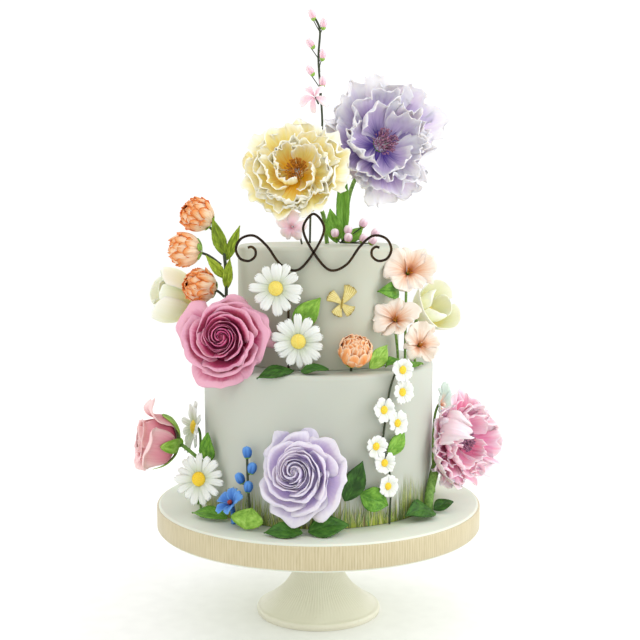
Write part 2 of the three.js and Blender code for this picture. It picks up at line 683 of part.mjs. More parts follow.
const FORWARD = [0, -1, 0.1];
const UPWARD = [0.05, -0.2, 1];
const LEAVES = {
  leaf_daisy: { from: [-21, -78.6, 281], to: [2, -77.8, 307.5], outward: FORWARD, width: 20,
    colour: 'limeLeaf' },
  leaf_shelf_left: { from: [-21, -91, 245.5], to: [-52.7, -99, 240], outward: [-0.3, -0.5, 1], width: 19,
    colour: 'darkLeaf' },
  leaf_shelf_right: { from: [-15, -93.5, 245], to: [9, -97, 247.5], outward: [0.1, -0.5, 1], width: 13,
    colour: 'darkLeaf' },
  leaf_ranunculus: { from: [44.5, -79.5, 246], to: [61, -62, 264], outward: [0.5, -0.9, 0.2], width: 15,
    colour: 'limeLeaf' },
  leaf_lily_upper: { from: [72, -43, 310.3], to: [52.5, -58.6, 311.3], outward: [0.7, -0.8, 0.3],
    width: 15, arch: 4, colour: 'midLeaf' },
  leaf_lily_lower: { from: [76, -61, 250], to: [59, -76.5, 247], outward: UPWARD, width: 15, arch: 2.5,
    colour: 'midLeaf' },
  leaf_lily_small: { from: [80, -67, 245.6], to: [94, -50, 245.6], outward: UPWARD, width: 11, arch: 1,
    colour: 'midLeaf' },
  leaf_vine_upper: { from: [60, -93.2, 171.5], to: [75.5, -83, 192], outward: [0.6, -0.8, 0.1],
    width: 15, arch: 1, colour: 'midLeaf' },
  leaf_vine_lower: { from: [36, -106, 141], to: [60.5, -97.2, 128.5], outward: [0.4, -0.9, 0.1], width: 21,
    arch: 2.5, colour: 'darkLeaf' },
  leaf_rose_right: { from: [22.5, -111.5, 136], to: [38, -107, 170], outward: [0.25, -0.95, 0.1], width: 20,
    arch: 2.5, colour: 'darkLeaf' },
  leaf_rose_front_right: { from: [-8.5, -126, 113.5], to: [26, -119, 117.5], outward: [0.1, -0.6, 0.8],
    width: 22, arch: 3, colour: 'darkLeaf' },
  leaf_rose_front_left: { from: [-13, -128, 113], to: [-46, -126, 112.6], outward: [-0.1, -0.6, 0.8],
    width: 16, arch: 3, colour: 'darkLeaf' },
  leaf_blue: { from: [-62, -113, 111.8], to: [-57, -104, 128], outward: [-0.3, -0.9, 0.5], width: 29,
    arch: 3, colour: 'midLeaf' },
  leaf_daisy_board: { from: [-80, -84, 113], to: [-113, -67, 113.6], outward: [-0.2, -0.4, 1], width: 15,
    arch: 3, colour: 'midLeaf' },
  leaf_daisy_side: { from: [-98.5, -56, 157], to: [-99.5, -54.5, 184], outward: [-0.6, -0.8, 0],
    width: 17, arch: 1, colour: 'darkLeaf' },
  leaf_peony_left: { from: [103, -60, 113.5], to: [76, -91, 117], outward: [0.4, -0.5, 1], width: 21, arch: 5,
    colour: 'darkLeaf' },
  leaf_peony_right: { from: [104, -57, 113.5], to: [123, -46, 118], outward: [0.3, -0.4, 1],
    width: 13, arch: 2, colour: 'darkLeaf' },
  leaf_top_tall: { from: [22.8, -9, ON_TOP + 0.3], to: [22.6, -17.5, 426], outward: [0.1, -1, 0],
    width: 12, arch: -3, wave: 1.4, colour: 'darkLeaf' },
};

function addLeaves() {
  for (const [name, leaf] of Object.entries(LEAVES)) {
    addLeaf(name, { ...leaf, colour: COLOURS[leaf.colour] });
  }
}

// The ranunculus' leafy branch, and the pink buds among leaves on the top tier
function addRanunculusBranch() {
  const trunk = [[-84, -40, ON_SHELF], [-83, -43, 290], [-82.6, -43, 320], [-84.5, -42, 345], [-89, -40, 360],
    [-92, -36, 368]];
  const leaves = [
    { from: [-84, -42, 342], to: [-94, -47, 376], outward: FORWARD, width: 12, wave: 0.4 },
    { from: [-82, -40, 338], to: [-70.3, -38, 369], outward: FORWARD, width: 9, wave: 0.4 },
    { from: [-82.5, -43, 312], to: [-79, -44, 340], outward: FORWARD, width: 9, wave: 0.4 },
    { from: [-83, -42.5, 322], to: [-100, -50, 343], outward: FORWARD, width: 9, wave: 0.4 },
  ];
  const solids = [stem(trunk, 1.6, 11), ...leaves.map(leafSolid)];
  addPiece('ranunculus_branch', join(solids), finish(COLOURS.midLeaf));
}

const PINK_BUDS = [
  [15, -25, 362],
  [27, -25, 365],
  [27, -30, 358],
  [41, -20, 371],
  [41, -30, 357.5],
  [52, -20, 362],
  [49, -35, 356],
];

function addPinkBudSpray() {
  const root = [20, -19, ON_TOP + 1.4];
  const twigs = PINK_BUDS.map(([x, y, z]) => stem([root, [(x + root[0]) / 2, (y + root[1]) / 2, ON_TOP + 1.8],
    [x, y, z]], 0.9, 2, 3));
  const buds = PINK_BUDS.map(([x, y, z]) => ellipsoid(3.9, 4.1, 0, 6, 3).translate([x, y, z]));
  const leaves = [
    { from: [17, -19, ON_TOP + 1], to: [10.6, -18, 384], outward: FORWARD, width: 15 },
    { from: [25, -19, ON_TOP + 1.4], to: [41, -15, 367], outward: FORWARD, width: 11 },
  ];
  addPiece('pink_bud_spray', join([...twigs, ...buds, ...leaves.map(leafSolid)]), finish(COLOURS.palePink));
}

// The topper: one running scroll of bright metal-look sheet on a pick, with no lettering
const SCROLL_LEVEL = 344;
const SCROLL_FRONT = -UPPER_RADIUS - 2.9;
const SCROLL_LINE = 2.2;

class ScrollStretch extends THREE.Curve {
  constructor(whole, from, to) {
    super();
    Object.assign(this, { whole, from, to });
  }

  getPoint(t) {
    return this.whole.getPoint(this.from + (this.to - this.from) * t);
  }
}

function scrollRoute() {
  const spiral = (centreX, centreZ, start, end, turns, from) => Array.from({ length: 9 }, (_, i) => {
    const share = i / 8;
    const angle = radians(from) + 2 * Math.PI * turns * share;
    const reach = start + (end - start) * share;
    return [centreX + reach * Math.cos(angle), centreZ + reach * Math.sin(angle)];
  });
  const points = [
    ...spiral(-60, 4, 3, 14, -1.1, 106),
    [-44, 8],
    [-32, -8],
    [-17, -12],
    [-2, 6],
    [5, 24],
    [-4, 36],
    [-13, 24],
    [-6, 6],
    [9, -12],
    [24, -8],
    [36, 8],
    ...spiral(52, 4, 14, 3, -1.1, 110),
  ];
  const place = ([x, z]) => new THREE.Vector3(x, SCROLL_FRONT, SCROLL_LEVEL + z);
  return new THREE.CatmullRomCurve3(points.map(place));
}

function addTopper() {
  const route = scrollRoute();
  const stretches = 9;
  const half = SCROLL_LINE / 2;
  const overlap = 0.002;
  const section = new THREE.Shape([[-half, -half], [half, -half], [half, half], [-half, half]]
    .map(([x, y]) => new THREE.Vector2(x, y)));
  const lines = Array.from({ length: stretches }, (_, i) => {
    const from = Math.max(0, i / stretches - overlap);
    const to = Math.min(1, (i + 1) / stretches + overlap);
    const extrudePath = new ScrollStretch(route, from, to);
    return solid(new THREE.ExtrudeGeometry(section, { steps: 5, extrudePath }));
  });
  const pickTop = SCROLL_LEVEL - 9;
  const pickLength = pickTop - ON_SHELF;
  const pick = solid(new THREE.BoxGeometry(SCROLL_LINE, SCROLL_LINE, pickLength)
    .translate(-26, SCROLL_FRONT, ON_SHELF + pickLength / 2));
  addPiece('scroll_topper', join([...lines, pick]), finish(COLOURS.topperMetal, 0.2, 1));
}

// The small gilt butterfly resting on the upper tier
function addButterfly() {
  const wing = (length, width, turn) => {
    const shape = (u, v) => {
      const half = width * Math.sin(Math.PI * Math.min(0.92, 0.1 + 0.8 * u));
      return new THREE.Vector3(length * u, half * v, 0.12 * length * u).applyAxisAngle(
        new THREE.Vector3(0, 0, 1),
        radians(turn),
      );
    };
    return solid(sheet(stripGrid(2, 2, shape), 1));
  };
  const placement = facing(roundPoint(15.2, UPPER_RADIUS + 2, 302), 15.2, 0);
  const body = ellipsoid(1.3, 6.5, 0, 6, 3).rotate([90, 0, 10]);
  const solids = [body, wing(19, 7.5, 62), wing(15, 6.5, 148), wing(13, 6, 236), wing(14, 6.5, 320)];
  addPiece('butterfly', join(solids), finish(COLOURS.gold, 0.4), placement);
}

addFoot();
addBoard();
addRibbon();
addTier('lower_tier', LOWER_RADIUS, LOWER_BOTTOM, LOWER_TOP);
addTier('upper_tier', UPPER_RADIUS, UPPER_BOTTOM, UPPER_TOP);
addPeonies();
addRoses();
addRanunculus();
addDaisies();
addBlossoms();
addVine();
addBlueFlowers();
addMagnolias();
addLilies();
addBudSpray();
addCurledFlowers();
addLeaves();
addRanunculusBranch();
addPinkBudSpray();
addTopper();
addButterfly();

export default cake;
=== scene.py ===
# %% [markdown]
# A two-tier fondant cake, dressed with sugar flowers. The real cake stands on a ribbed cream foot,
# and every flower on it is worked in flower paste, petal by petal, round a wire. This lesson does
# the same: a petal is a small sheet of points that a formula bends, and a flower is a few rings of
# such sheets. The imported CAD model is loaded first, as the frame that says where each flower sits.

# %% Load the frame
import math
import random

import bpy
from mathutils import Matrix, Vector
from mathutils import noise as ruffles


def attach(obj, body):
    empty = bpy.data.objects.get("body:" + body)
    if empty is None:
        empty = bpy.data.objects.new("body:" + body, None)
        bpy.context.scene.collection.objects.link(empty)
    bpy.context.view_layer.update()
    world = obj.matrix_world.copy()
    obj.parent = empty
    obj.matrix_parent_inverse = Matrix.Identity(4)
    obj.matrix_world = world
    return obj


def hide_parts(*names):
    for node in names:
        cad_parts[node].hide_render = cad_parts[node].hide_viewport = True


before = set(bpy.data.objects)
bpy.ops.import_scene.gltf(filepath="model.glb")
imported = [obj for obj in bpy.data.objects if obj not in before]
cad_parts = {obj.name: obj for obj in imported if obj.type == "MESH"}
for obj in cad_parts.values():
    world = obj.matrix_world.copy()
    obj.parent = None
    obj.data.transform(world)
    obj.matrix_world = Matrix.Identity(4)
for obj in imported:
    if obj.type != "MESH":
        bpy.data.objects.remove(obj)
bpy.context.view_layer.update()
print("the frame has", len(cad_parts), "nodes")

# %% [markdown]
# The camera stands a good metre away, a little above the cake's middle, and looks down by six
# degrees. With a long lens the tiers' edges stay almost level, as in a studio picture of a cake.
# The lens and the distance follow from the tiers' edges, whose true sizes the CAD model holds.

# %% The camera
MM = 0.001
LENS = 64.3
CAMERA_PLACE = (0.0015, -1.066, 0.392)
LOOKS_DOWN = 6

scene = bpy.context.scene
camera_data = bpy.data.cameras.new("cake_camera")
camera_data.lens = LENS
camera_data.sensor_width = 36
camera = bpy.data.objects.new("cake_camera", camera_data)
camera.location = CAMERA_PLACE
camera.rotation_euler = (math.radians(90 - LOOKS_DOWN), 0, 0)
scene.collection.objects.link(camera)
scene.camera = camera
print("the camera stands", round(-CAMERA_PLACE[1], 2), "m in front of the cake's axis")

# %% [markdown]
# A finish is written as a sum, not as a drawing of nodes. One small class wraps a socket, so that
# plus, minus and times add the Math nodes, and one method adds any other node. It keeps each
# finish below down to a few lines that say what is mixed with what.

# %% Sockets that can be added and multiplied
class Wire:
    """A socket of a finish. An expression on wires adds the nodes for its maths."""

    def __init__(self, finish, socket):
        self.finish = finish
        self.socket = socket

    def maths(self, operation, first, second=0.0, clamp=False):
        settings = {"operation": operation, "use_clamp": clamp}
        return self.finish.node("ShaderNodeMath", settings, {0: first, 1: second})

    def __add__(self, other):
        return self.maths("ADD", self, other)

    def __sub__(self, other):
        return self.maths("SUBTRACT", self, other)

    def __rsub__(self, other):
        return self.maths("SUBTRACT", other, self)

    def __mul__(self, other):
        return self.maths("MULTIPLY", self, other)

    def __pow__(self, other):
        return self.maths("POWER", self, other)

    def __abs__(self):
        return self.maths("ABSOLUTE", self)

    def sine(self):
        return self.maths("SINE", self)

    def clamped(self):
        return self.maths("ADD", self, 0.0, clamp=True)

    __radd__ = __add__
    __rmul__ = __mul__


print("wires can be added, multiplied and raised to a power")

# %% [markdown]
# A finish is Blender's Principled shader with a few sockets fed by such sums. Its class makes the
# nodes, links what is a wire and sets what is a plain number. Colours are written as web colours,
# as a maker would note them from a colour card, and turned into Blender's linear ones.

# %% A finish and its colours
class Finish:
    """A material in the making, on Blender's Principled shader."""

    def __init__(self, name):
        self.material = bpy.data.materials.new(name)
        self.material.use_nodes = True
        self.tree = self.material.node_tree
        self.shader = self.tree.nodes["Principled BSDF"]

    def plug(self, node, socket, value):
        if isinstance(value, Wire):
            self.tree.links.new(value.socket, node.inputs[socket])
        else:
            node.inputs[socket].default_value = value

    def node(self, kind, settings=None, sockets=None, output=0):
        made = self.tree.nodes.new(kind)
        for name, value in (settings or {}).items():
            if name == "stops":
                self.set_stops(made.color_ramp.elements, value)
            else:
                setattr(made, name, value)
        for socket, value in (sockets or {}).items():
            self.plug(made, socket, value)
        return Wire(self, made.outputs[output])

    def set_stops(self, elements, stops):
        for _ in range(len(stops) - len(elements)):
            elements.new(1.0)
        for element, (place, colour) in zip(elements, stops):
            element.position = place
            element.color = colour

    def wear(self, **sockets):
        """Set the shader's sockets: base_color means Base Color."""
        for name, value in sockets.items():
            self.plug(self.shader, name.replace("_", " ").title().replace("Ior", "IOR"), value)
        return self.material


def tint(code):
    """A web colour such as "e8dca0" as Blender's linear colour."""
    parts = [int(code[i:i + 2], 16) / 255 for i in (0, 2, 4)]
    return tuple(p / 12.92 if p <= 0.04045 else ((p + 0.055) / 1.055) ** 2.4 for p in parts) + (1.0,)


print("finishes can be written as sums")

# %% [markdown]
# Most finishes need the same few steps: one colour over another, a colour ramp, a noise, a bump
# map and the place of the point. Each is a short function here, so that a finish further down
# names only what is its own. Colours go through Mix, since a Math node would turn them grey.

# %% Helpers that most finishes share
def mixed(finish, share, first, second):
    """The second colour over the first, by a share."""
    sockets = {0: share, 6: first, 7: second}
    return finish.node("ShaderNodeMix", {"data_type": "RGBA"}, sockets, output=2)


def ramp(finish, signal, *stops):
    """A colour for a signal, through stops of (place, web colour)."""
    colours = [(place, tint(code)) for place, code in stops]
    return finish.node("ShaderNodeValToRGB", {"stops": colours}, {"Fac": signal})


def noise(finish, vector, scale=1.0, detail=2.0):
    sockets = {"Vector": vector, "Scale": scale, "Detail": detail}
    return finish.node("ShaderNodeTexNoise", {}, sockets)


def bump(finish, height, strength, distance):
    sockets = {"Strength": strength, "Distance": distance, "Height": height}
    return finish.node("ShaderNodeBump", {}, sockets)


def vector_of(finish, x, y, z):
    return finish.node("ShaderNodeCombineXYZ", {}, {0: x, 1: y, 2: z})


def parts_of(finish, vector):
    """The three numbers of a vector."""
    made = finish.tree.nodes.new("ShaderNodeSeparateXYZ")
    finish.plug(made, 0, vector)
    return [Wire(finish, made.outputs[i]) for i in range(3)]


def petal_paint(finish):
    """The three numbers that each point of sugarwork carries: along, across and its tone."""
    vector = finish.node("ShaderNodeAttribute", {"attribute_name": "paint"}, output="Vector")
    return parts_of(finish, vector)


def surface_place(finish):
    """The point's own place, in metres."""
    return finish.node("ShaderNodeTexCoord", {}, output="Object")


print("the helpers for the finishes are ready")

# %% [markdown]
# Sugar flowers are dusted: a petal cutter's blank is pale, and the maker brushes powder colour
# from the heart outwards, so the rim stays nearly white. Each point of a petal therefore carries
# how far along and how far across the petal it lies. The petal finish turns the first number into
# the dusting, the second into fine veins, and a third one, a tone, makes the petals differ.

# %% The finish of a dusted petal
def petal_finish(name, heart, body, rim, fade=0.55, pale=0.95, streak=0.3, inward=0.18, glow=0.2):
    """The heart's colour gives way to the body's at fade, and that to the rim's at pale.

    inward is how much a low tone, which inner petals have, brings the heart's colour outwards."""
    finish = Finish(name)
    along, across, tone = petal_paint(finish)
    fibres = noise(finish, vector_of(finish, across * 16, along * 2.5, tone * 40), detail=3)
    # A low tone brings the heart's colour outwards. The roses give low tones to their inner rings, spiral
    # and core, so there it is painted shade in the deep middle.
    dusting = along + (fibres - 0.5) * streak + (tone - 0.5) * inward
    colour = ramp(finish, dusting, (0.1, heart), (fade, body), (pale, rim))
    side = (abs(across) ** 12 * tone).clamped()
    colour = mixed(finish, side, colour, tint(rim))
    sugar = noise(finish, surface_place(finish), scale=900)
    relief = fibres * 0.7 + sugar * 0.3
    return finish.wear(
        base_color=colour,
        roughness=0.12 * sugar + 0.46,
        subsurface_weight=glow,
        subsurface_scale=0.003,
        subsurface_radius=(1.0, 0.8, 0.6),
        specular_ior_level=0.35,
        normal=bump(finish, relief, 0.35, 0.0004),
    )


# On the roses, inward turns the low tones of the deep middle into painted shade; it is strongest on the
# magenta rose.
PETALS = {
    "yellow": petal_finish("yellow_petal", "ffb810", "ffea8c", "fffdec", fade=0.42, pale=0.88, streak=0.4,
                           glow=0.3),
    "purple": petal_finish("purple_petal", "5c45a4", "cbb6e0", "eeecf0", fade=0.36, pale=0.76, inward=0.3,
                           glow=0.4),
    "pink": petal_finish("pink_petal", "e2588a", "f493b8", "fde6ee", fade=0.45, streak=0.4, glow=0.45),
    "magenta": petal_finish("magenta_petal", "5e0428", "c4467a", "e9a8be", fade=0.62, pale=1.0, inward=0.7,
                            glow=0.3),
    "lilac": petal_finish("lilac_petal", "a48fd4", "c4b2da", "e9e0ea", fade=0.5, inward=0.2, glow=0.4),
    "rosebud": petal_finish("rosebud_petal", "b83a62", "e0929e", "f4cecc", fade=0.5),
    "white": petal_finish("white_petal", "bcc8a6", "e0e3da", "eef0ea", streak=0.15),
    "blue": petal_finish("blue_petal", "173f86", "3b74c0", "5f9ade", fade=0.5),
    "cream": petal_finish("cream_petal", "e8d050", "eceec6", "f7f9e8", fade=0.42, glow=0.45),
    # The back blossom is whitish with a pink heart; its grey-green body and rim are painted shade, as it
    # stands behind the lower tier.
    "shaded_shell": petal_finish("shaded_shell_petal", "e09a80", "b4cbbd", "c6d8cd"),
    "lily": petal_finish("lily_petal", "a8440e", "dca280", "f2e3d4", fade=0.42, pale=0.86, streak=0.5,
                         glow=0.3),
    "pale_pink": petal_finish("pale_pink_petal", "d99ab0", "f0c6d2", "f8e6ea", glow=0.35),
    "bud_pink": petal_finish("pink_bud_skin", "d2a0b6", "e8c6d4", "f6e8ee"),
}
print("dusted petals in", len(PETALS), "colours")

# %% [markdown]
# The ranunculus heads are peach, and orange powder lies on them. On the shut heads it marks the
# rims of the petals. On the open one the orange fills the hollows between pale rims, partly as powder
# and partly as painted shade. Both finishes follow the sides of a petal, not only its length.

# %% The finishes of the ranunculus petals
def ranunculus_finish(name, hollow):
    """hollow puts the orange inside the petals, and otherwise it lies on their rims."""
    finish = Finish(name)
    along, across, tone = petal_paint(finish)
    fibres = noise(finish, vector_of(finish, across * 7, along * 4, tone * 40), detail=3)
    if hollow:
        # The open head's orange is strongest in the middle of each cupped petal: partly dusting and partly
        # painted shade in the hollows.
        dusting = (1 - across * across) * (1 - along ** 5) * 0.8
    else:
        dusting = abs(across) ** 5 * 0.7 + along ** 7 * 0.95
    dusting = (dusting + (fibres - 0.5) * 0.7).clamped()
    colour = ramp(finish, dusting, (0.0, "fcd8b6"), (0.3, "f3ae78"), (0.65, "f09450"), (1.0, "e06c1c"))
    return finish.wear(
        base_color=colour,
        roughness=0.5,
        subsurface_weight=0.2,
        subsurface_scale=0.003,
        subsurface_radius=(1.0, 0.6, 0.4),
        specular_ior_level=0.35,
        normal=bump(finish, fibres, 0.5, 0.0005),
    )


PETALS["peach"] = ranunculus_finish("peach_petal", hollow=False)
PETALS["open_peach"] = ranunculus_finish("open_peach_petal", hollow=True)
print("with the peach ones,", len(PETALS), "petal finishes")

# %% [markdown]
# The leaves are pressed in a veiner, so they have a midrib and slanting side veins, and they are
# steamed, which gives them a soft gloss. The veins are drawn from the same two numbers: the side
# veins are where along minus across comes round again. They also push the surface in a little.

# %% The finish of a leaf
def leaf_finish(name, deep, body, light):
    finish = Finish(name)
    along, across, tone = petal_paint(finish)
    slant = ((along * 8.5 - abs(across) * 2.2) * (2 * math.pi)).sine()
    side_veins = (slant * 0.5 + 0.5) ** 6
    midrib = (1 - abs(across) * 14).clamped()
    veins = (side_veins * 0.6 + midrib).clamped()
    mottle = noise(finish, vector_of(finish, across * 3, along * 5, tone * 30), detail=4)
    colour = ramp(finish, mottle + (tone - 0.5) * 0.3, (0.3, deep), (0.5, body), (0.72, light))
    colour = mixed(finish, veins * 0.35, colour, tint(deep))
    skin = noise(finish, surface_place(finish), scale=700)
    return finish.wear(
        base_color=colour,
        roughness=0.18 * skin + 0.42,
        subsurface_weight=0.08,
        subsurface_scale=0.002,
        specular_ior_level=0.3,
        normal=bump(finish, mottle * 0.4 - veins, 0.5, 0.0006),
    )


LEAVES = {
    "dark": leaf_finish("dark_leaf", "22480f", "37661c", "4c7e2a"),
    "mid": leaf_finish("mid_leaf", "4a7e20", "6ca032", "88b848"),
    "lime": leaf_finish("lime_leaf", "68962c", "8cb844", "a8ce64"),
    "olive": leaf_finish("olive_leaf", "5e720e", "86a020", "b2c840"),
}
print("leaves in", len(LEAVES), "greens")

# %% [markdown]
# Fondant is sugar paste rolled out, draped over the tier and polished by hand. It is nearly
# white and smooth, but never quite: it keeps a very low waviness and a fine dry grain. A little
# light enters it, which the subsurface weight gives.

# %% The finish of the fondant
def fondant_finish(name, body, shade, wash=None, wash_mask=None):
    """wash is a faint green, and wash_mask turns a point's x, y and z into how much lies there."""
    finish = Finish(name)
    place = surface_place(finish)
    cloud = noise(finish, place, scale=9)
    grain = noise(finish, place, scale=1400)
    swell = noise(finish, place, scale=26, detail=1)
    colour = ramp(finish, cloud, (0.35, shade), (0.6, body))
    if wash:
        share = (wash_mask(parts_of(finish, place)) * cloud * 1.5).clamped()
        colour = mixed(finish, share, colour, tint(wash))
    return finish.wear(
        base_color=colour,
        roughness=0.16 * grain + 0.42,
        subsurface_weight=0.12,
        subsurface_scale=0.004,
        specular_ior_level=0.35,
        normal=bump(finish, grain * 0.05 + swell, 0.25, 0.002),
    )


# Where each wash is strongest, in metres, and how fast it fades away from there.
TIER_SIDE, TIER_FADE = 0.109, 60
BOARD_TOP, BOARD_FADE = 0.110, 70


def near_the_tier(xyz):
    x, y, _ = xyz
    return (1 - abs((x * x + y * y) ** 0.5 - TIER_SIDE) * TIER_FADE).clamped() * 0.5


def near_the_board(xyz):
    return (1 - (xyz[2] - BOARD_TOP) * BOARD_FADE).clamped() ** 2


# Both tiers' fondant is painted a light grey, darker than the board's icing: painted shade, since the cake's
# sides stand in part shade. The upper tier's is also yellower, painted shade tinted by the light that the
# leaves throw on it.
SHADED_UPPER_FONDANT = fondant_finish("shaded_upper_fondant", "c0c2b2", "b8baa8")
SHADED_WASHED_FONDANT = fondant_finish("shaded_washed_fondant", "c0c4b8", "b8bcb0", "8aa068", near_the_board)
BOARD_ICING = fondant_finish("board_icing", "e0e4d6", "d5dacb", "9cb276", near_the_tier)
print("fondant for two tiers and the board")

# %% [markdown]
# The board's edge carries a beige ribbon with fine upright cords, and the foot is cream pottery.
# Both get their cords and ribs as geometry further down; their finishes add the sheen of satin and
# glaze, painted shade in the grooves of both, and a painted highlight on the ridges of the foot.

# %% The finishes of the ribbon and the foot
def ribbon_finish():
    finish = Finish("beige_ribbon")
    tone = petal_paint(finish)[2]
    x, y, z = parts_of(finish, surface_place(finish))
    threads = noise(finish, vector_of(finish, x * 900, y * 900, z * 60))
    # tone is low in the grooves between the cords, so this paints shade into them.
    colour = ramp(finish, threads * 0.6 + tone * 0.4, (0.2, "b3a680"), (0.5, "c8bc98"), (0.8, "d5cbac"))
    return finish.wear(
        base_color=colour,
        roughness=0.45,
        sheen_weight=0.3,
        sheen_roughness=0.4,
        normal=bump(finish, threads, 0.3, 0.0003),
    )


def foot_finish():
    finish = Finish("cream_glaze")
    tone = petal_paint(finish)[2]
    place = surface_place(finish)
    speck = noise(finish, place, scale=260, detail=3)
    pool = noise(finish, place, scale=30)
    # tone is the painted light of the ribs: paler on their ridges, a painted highlight, and darker in their
    # grooves, painted shade.
    colour = ramp(finish, pool * 0.35 + tone * 0.65, (0.15, "ccc9ae"), (0.5, "e0ddc8"), (0.85, "ecead8"))
    colour = mixed(finish, (speck - 0.62).clamped() * 0.8, colour, tint("a89f7a"))
    return finish.wear(
        base_color=colour,
        roughness=0.2 * speck + 0.32,
        coat_weight=0.2,
        coat_roughness=0.2,
        normal=bump(finish, speck, 0.15, 0.0004),
    )


RIBBON = ribbon_finish()
GLAZE = foot_finish()
print("satin for the ribbon and glaze for the foot")

# %% [markdown]
# Small things have finishes of their own: the grained yellow eyes of the daisies, the taped
# wires, the stamens, the dark mirror of the cut scroll with painted gold glints, and the gilt
# wafer of the butterfly.

# %% The finishes of the small things
def eye_finish(name, deep, body):
    finish = Finish(name)
    grains = finish.node(
        "ShaderNodeTexVoronoi", {}, {"Vector": surface_place(finish), "Scale": 1500.0}, output="Distance"
    )
    colour = ramp(finish, grains, (0.1, body), (0.75, deep))
    return finish.wear(
        base_color=colour, roughness=0.7, subsurface_weight=0.1, subsurface_scale=0.002,
        normal=bump(finish, 1 - grains, 0.8, 0.0006),
    )


def tape_finish(name, deep, body):
    finish = Finish(name)
    along, across, _ = petal_paint(finish)
    winding = ((along * 14 + across) * (2 * math.pi)).sine()
    paper = noise(finish, surface_place(finish), scale=500, detail=3)
    colour = ramp(finish, paper + winding * 0.06, (0.3, deep), (0.7, body))
    return finish.wear(
        base_color=colour, roughness=0.65, normal=bump(finish, winding * 0.5 + paper, 0.4, 0.0004)
    )


def mirror_with_painted_glints():
    finish = Finish("dark_mirror")
    cloud = noise(finish, surface_place(finish), scale=38)
    # Where the cloud is high the dark colour turns gold: painted glints, standing for the mirror's
    # reflections.
    colour = ramp(finish, cloud, (0.5, "2a1e12"), (0.66, "4a3614"), (0.74, "b08a2a"))
    return finish.wear(base_color=colour, metallic=0.75, roughness=0.05 * cloud + 0.18)


def wafer_finish():
    finish = Finish("gilt_wafer")
    along, across, _ = petal_paint(finish)
    veins = ((across * (3.2 * math.pi)).sine() ** 8).clamped()
    border = (abs(across) ** 10 + along ** 12).clamped()
    cloud = noise(finish, surface_place(finish), scale=300)
    colour = ramp(finish, cloud, (0.3, "d4c472"), (0.7, "e6da98"))
    colour = mixed(finish, (veins * 0.6 + border * 0.8).clamped(), colour, tint("8f7a30"))
    return finish.wear(
        base_color=colour, metallic=0.25, roughness=0.42, normal=bump(finish, veins, 0.4, 0.0003)
    )


EYE = eye_finish("yellow_eye", "f2c424", "fee642")
PALE_EYE = eye_finish("lemon_eye", "eccf4c", "fbf08a")
GOLD_STAMENS = eye_finish("gold_stamens", "b0600c", "f0a82a")
PINK_STAMENS = eye_finish("pink_stamens", "6a3a6e", "f0b0c0")
RED_STAMENS = eye_finish("red_stamens", "7a1c28", "d1532c")
GILT_BODY = eye_finish("gilt_body", "8a7226", "c0a848")
GREEN_TAPE = tape_finish("green_tape", "567f2e", "86ae52")
DARK_TAPE = tape_finish("dark_tape", "28321e", "3f4b2e")
MIRROR = mirror_with_painted_glints()
WAFER = wafer_finish()
print("finishes in all:", len(bpy.data.materials))

# %% [markdown]
# Wires bend softly and petals have soft profiles. Both are given here by a few points, and a
# smooth curve is drawn through them. This is the Catmull-Rom curve, which passes through every
# one of its points, so each can be read off the flower and written down as it is.

# %% A smooth curve
def curve_at(points, share):
    """The point at a share of a smooth curve through the points."""
    spans = len(points) - 1
    place = min(max(share, 0.0), 1.0) * spans
    span = min(int(place), spans - 1)
    t = place - span
    a, b = points[max(span - 1, 0)], points[span]
    c, d = points[span + 1], points[min(span + 2, spans)]
    weights = (
        0.5 * (-t + 2 * t * t - t ** 3),
        0.5 * (2 - 5 * t * t + 3 * t ** 3),
        0.5 * (t + 4 * t * t - 3 * t ** 3),
        0.5 * (t ** 3 - t * t),
    )
    return tuple(sum(w * p[i] for w, p in zip(weights, (a, b, c, d))) for i in range(len(b)))


print("a test curve passes", curve_at([(0, 0), (1, 2), (2, 0)], 0.5))

# %% [markdown]
# All sugarwork is made by one small class. It gathers sheets of points in millimetres, each in
# the flower's own space: x across, y up and z out along the flower's axis. When the piece is
# whole, the class turns it to its place on the cake, makes one mesh of it, gives the paste its
# thickness and hides the CAD node that it stands for.

# %% Sheets, tubes and balls of sugar paste
OUTWARD = (0, 0, 1)


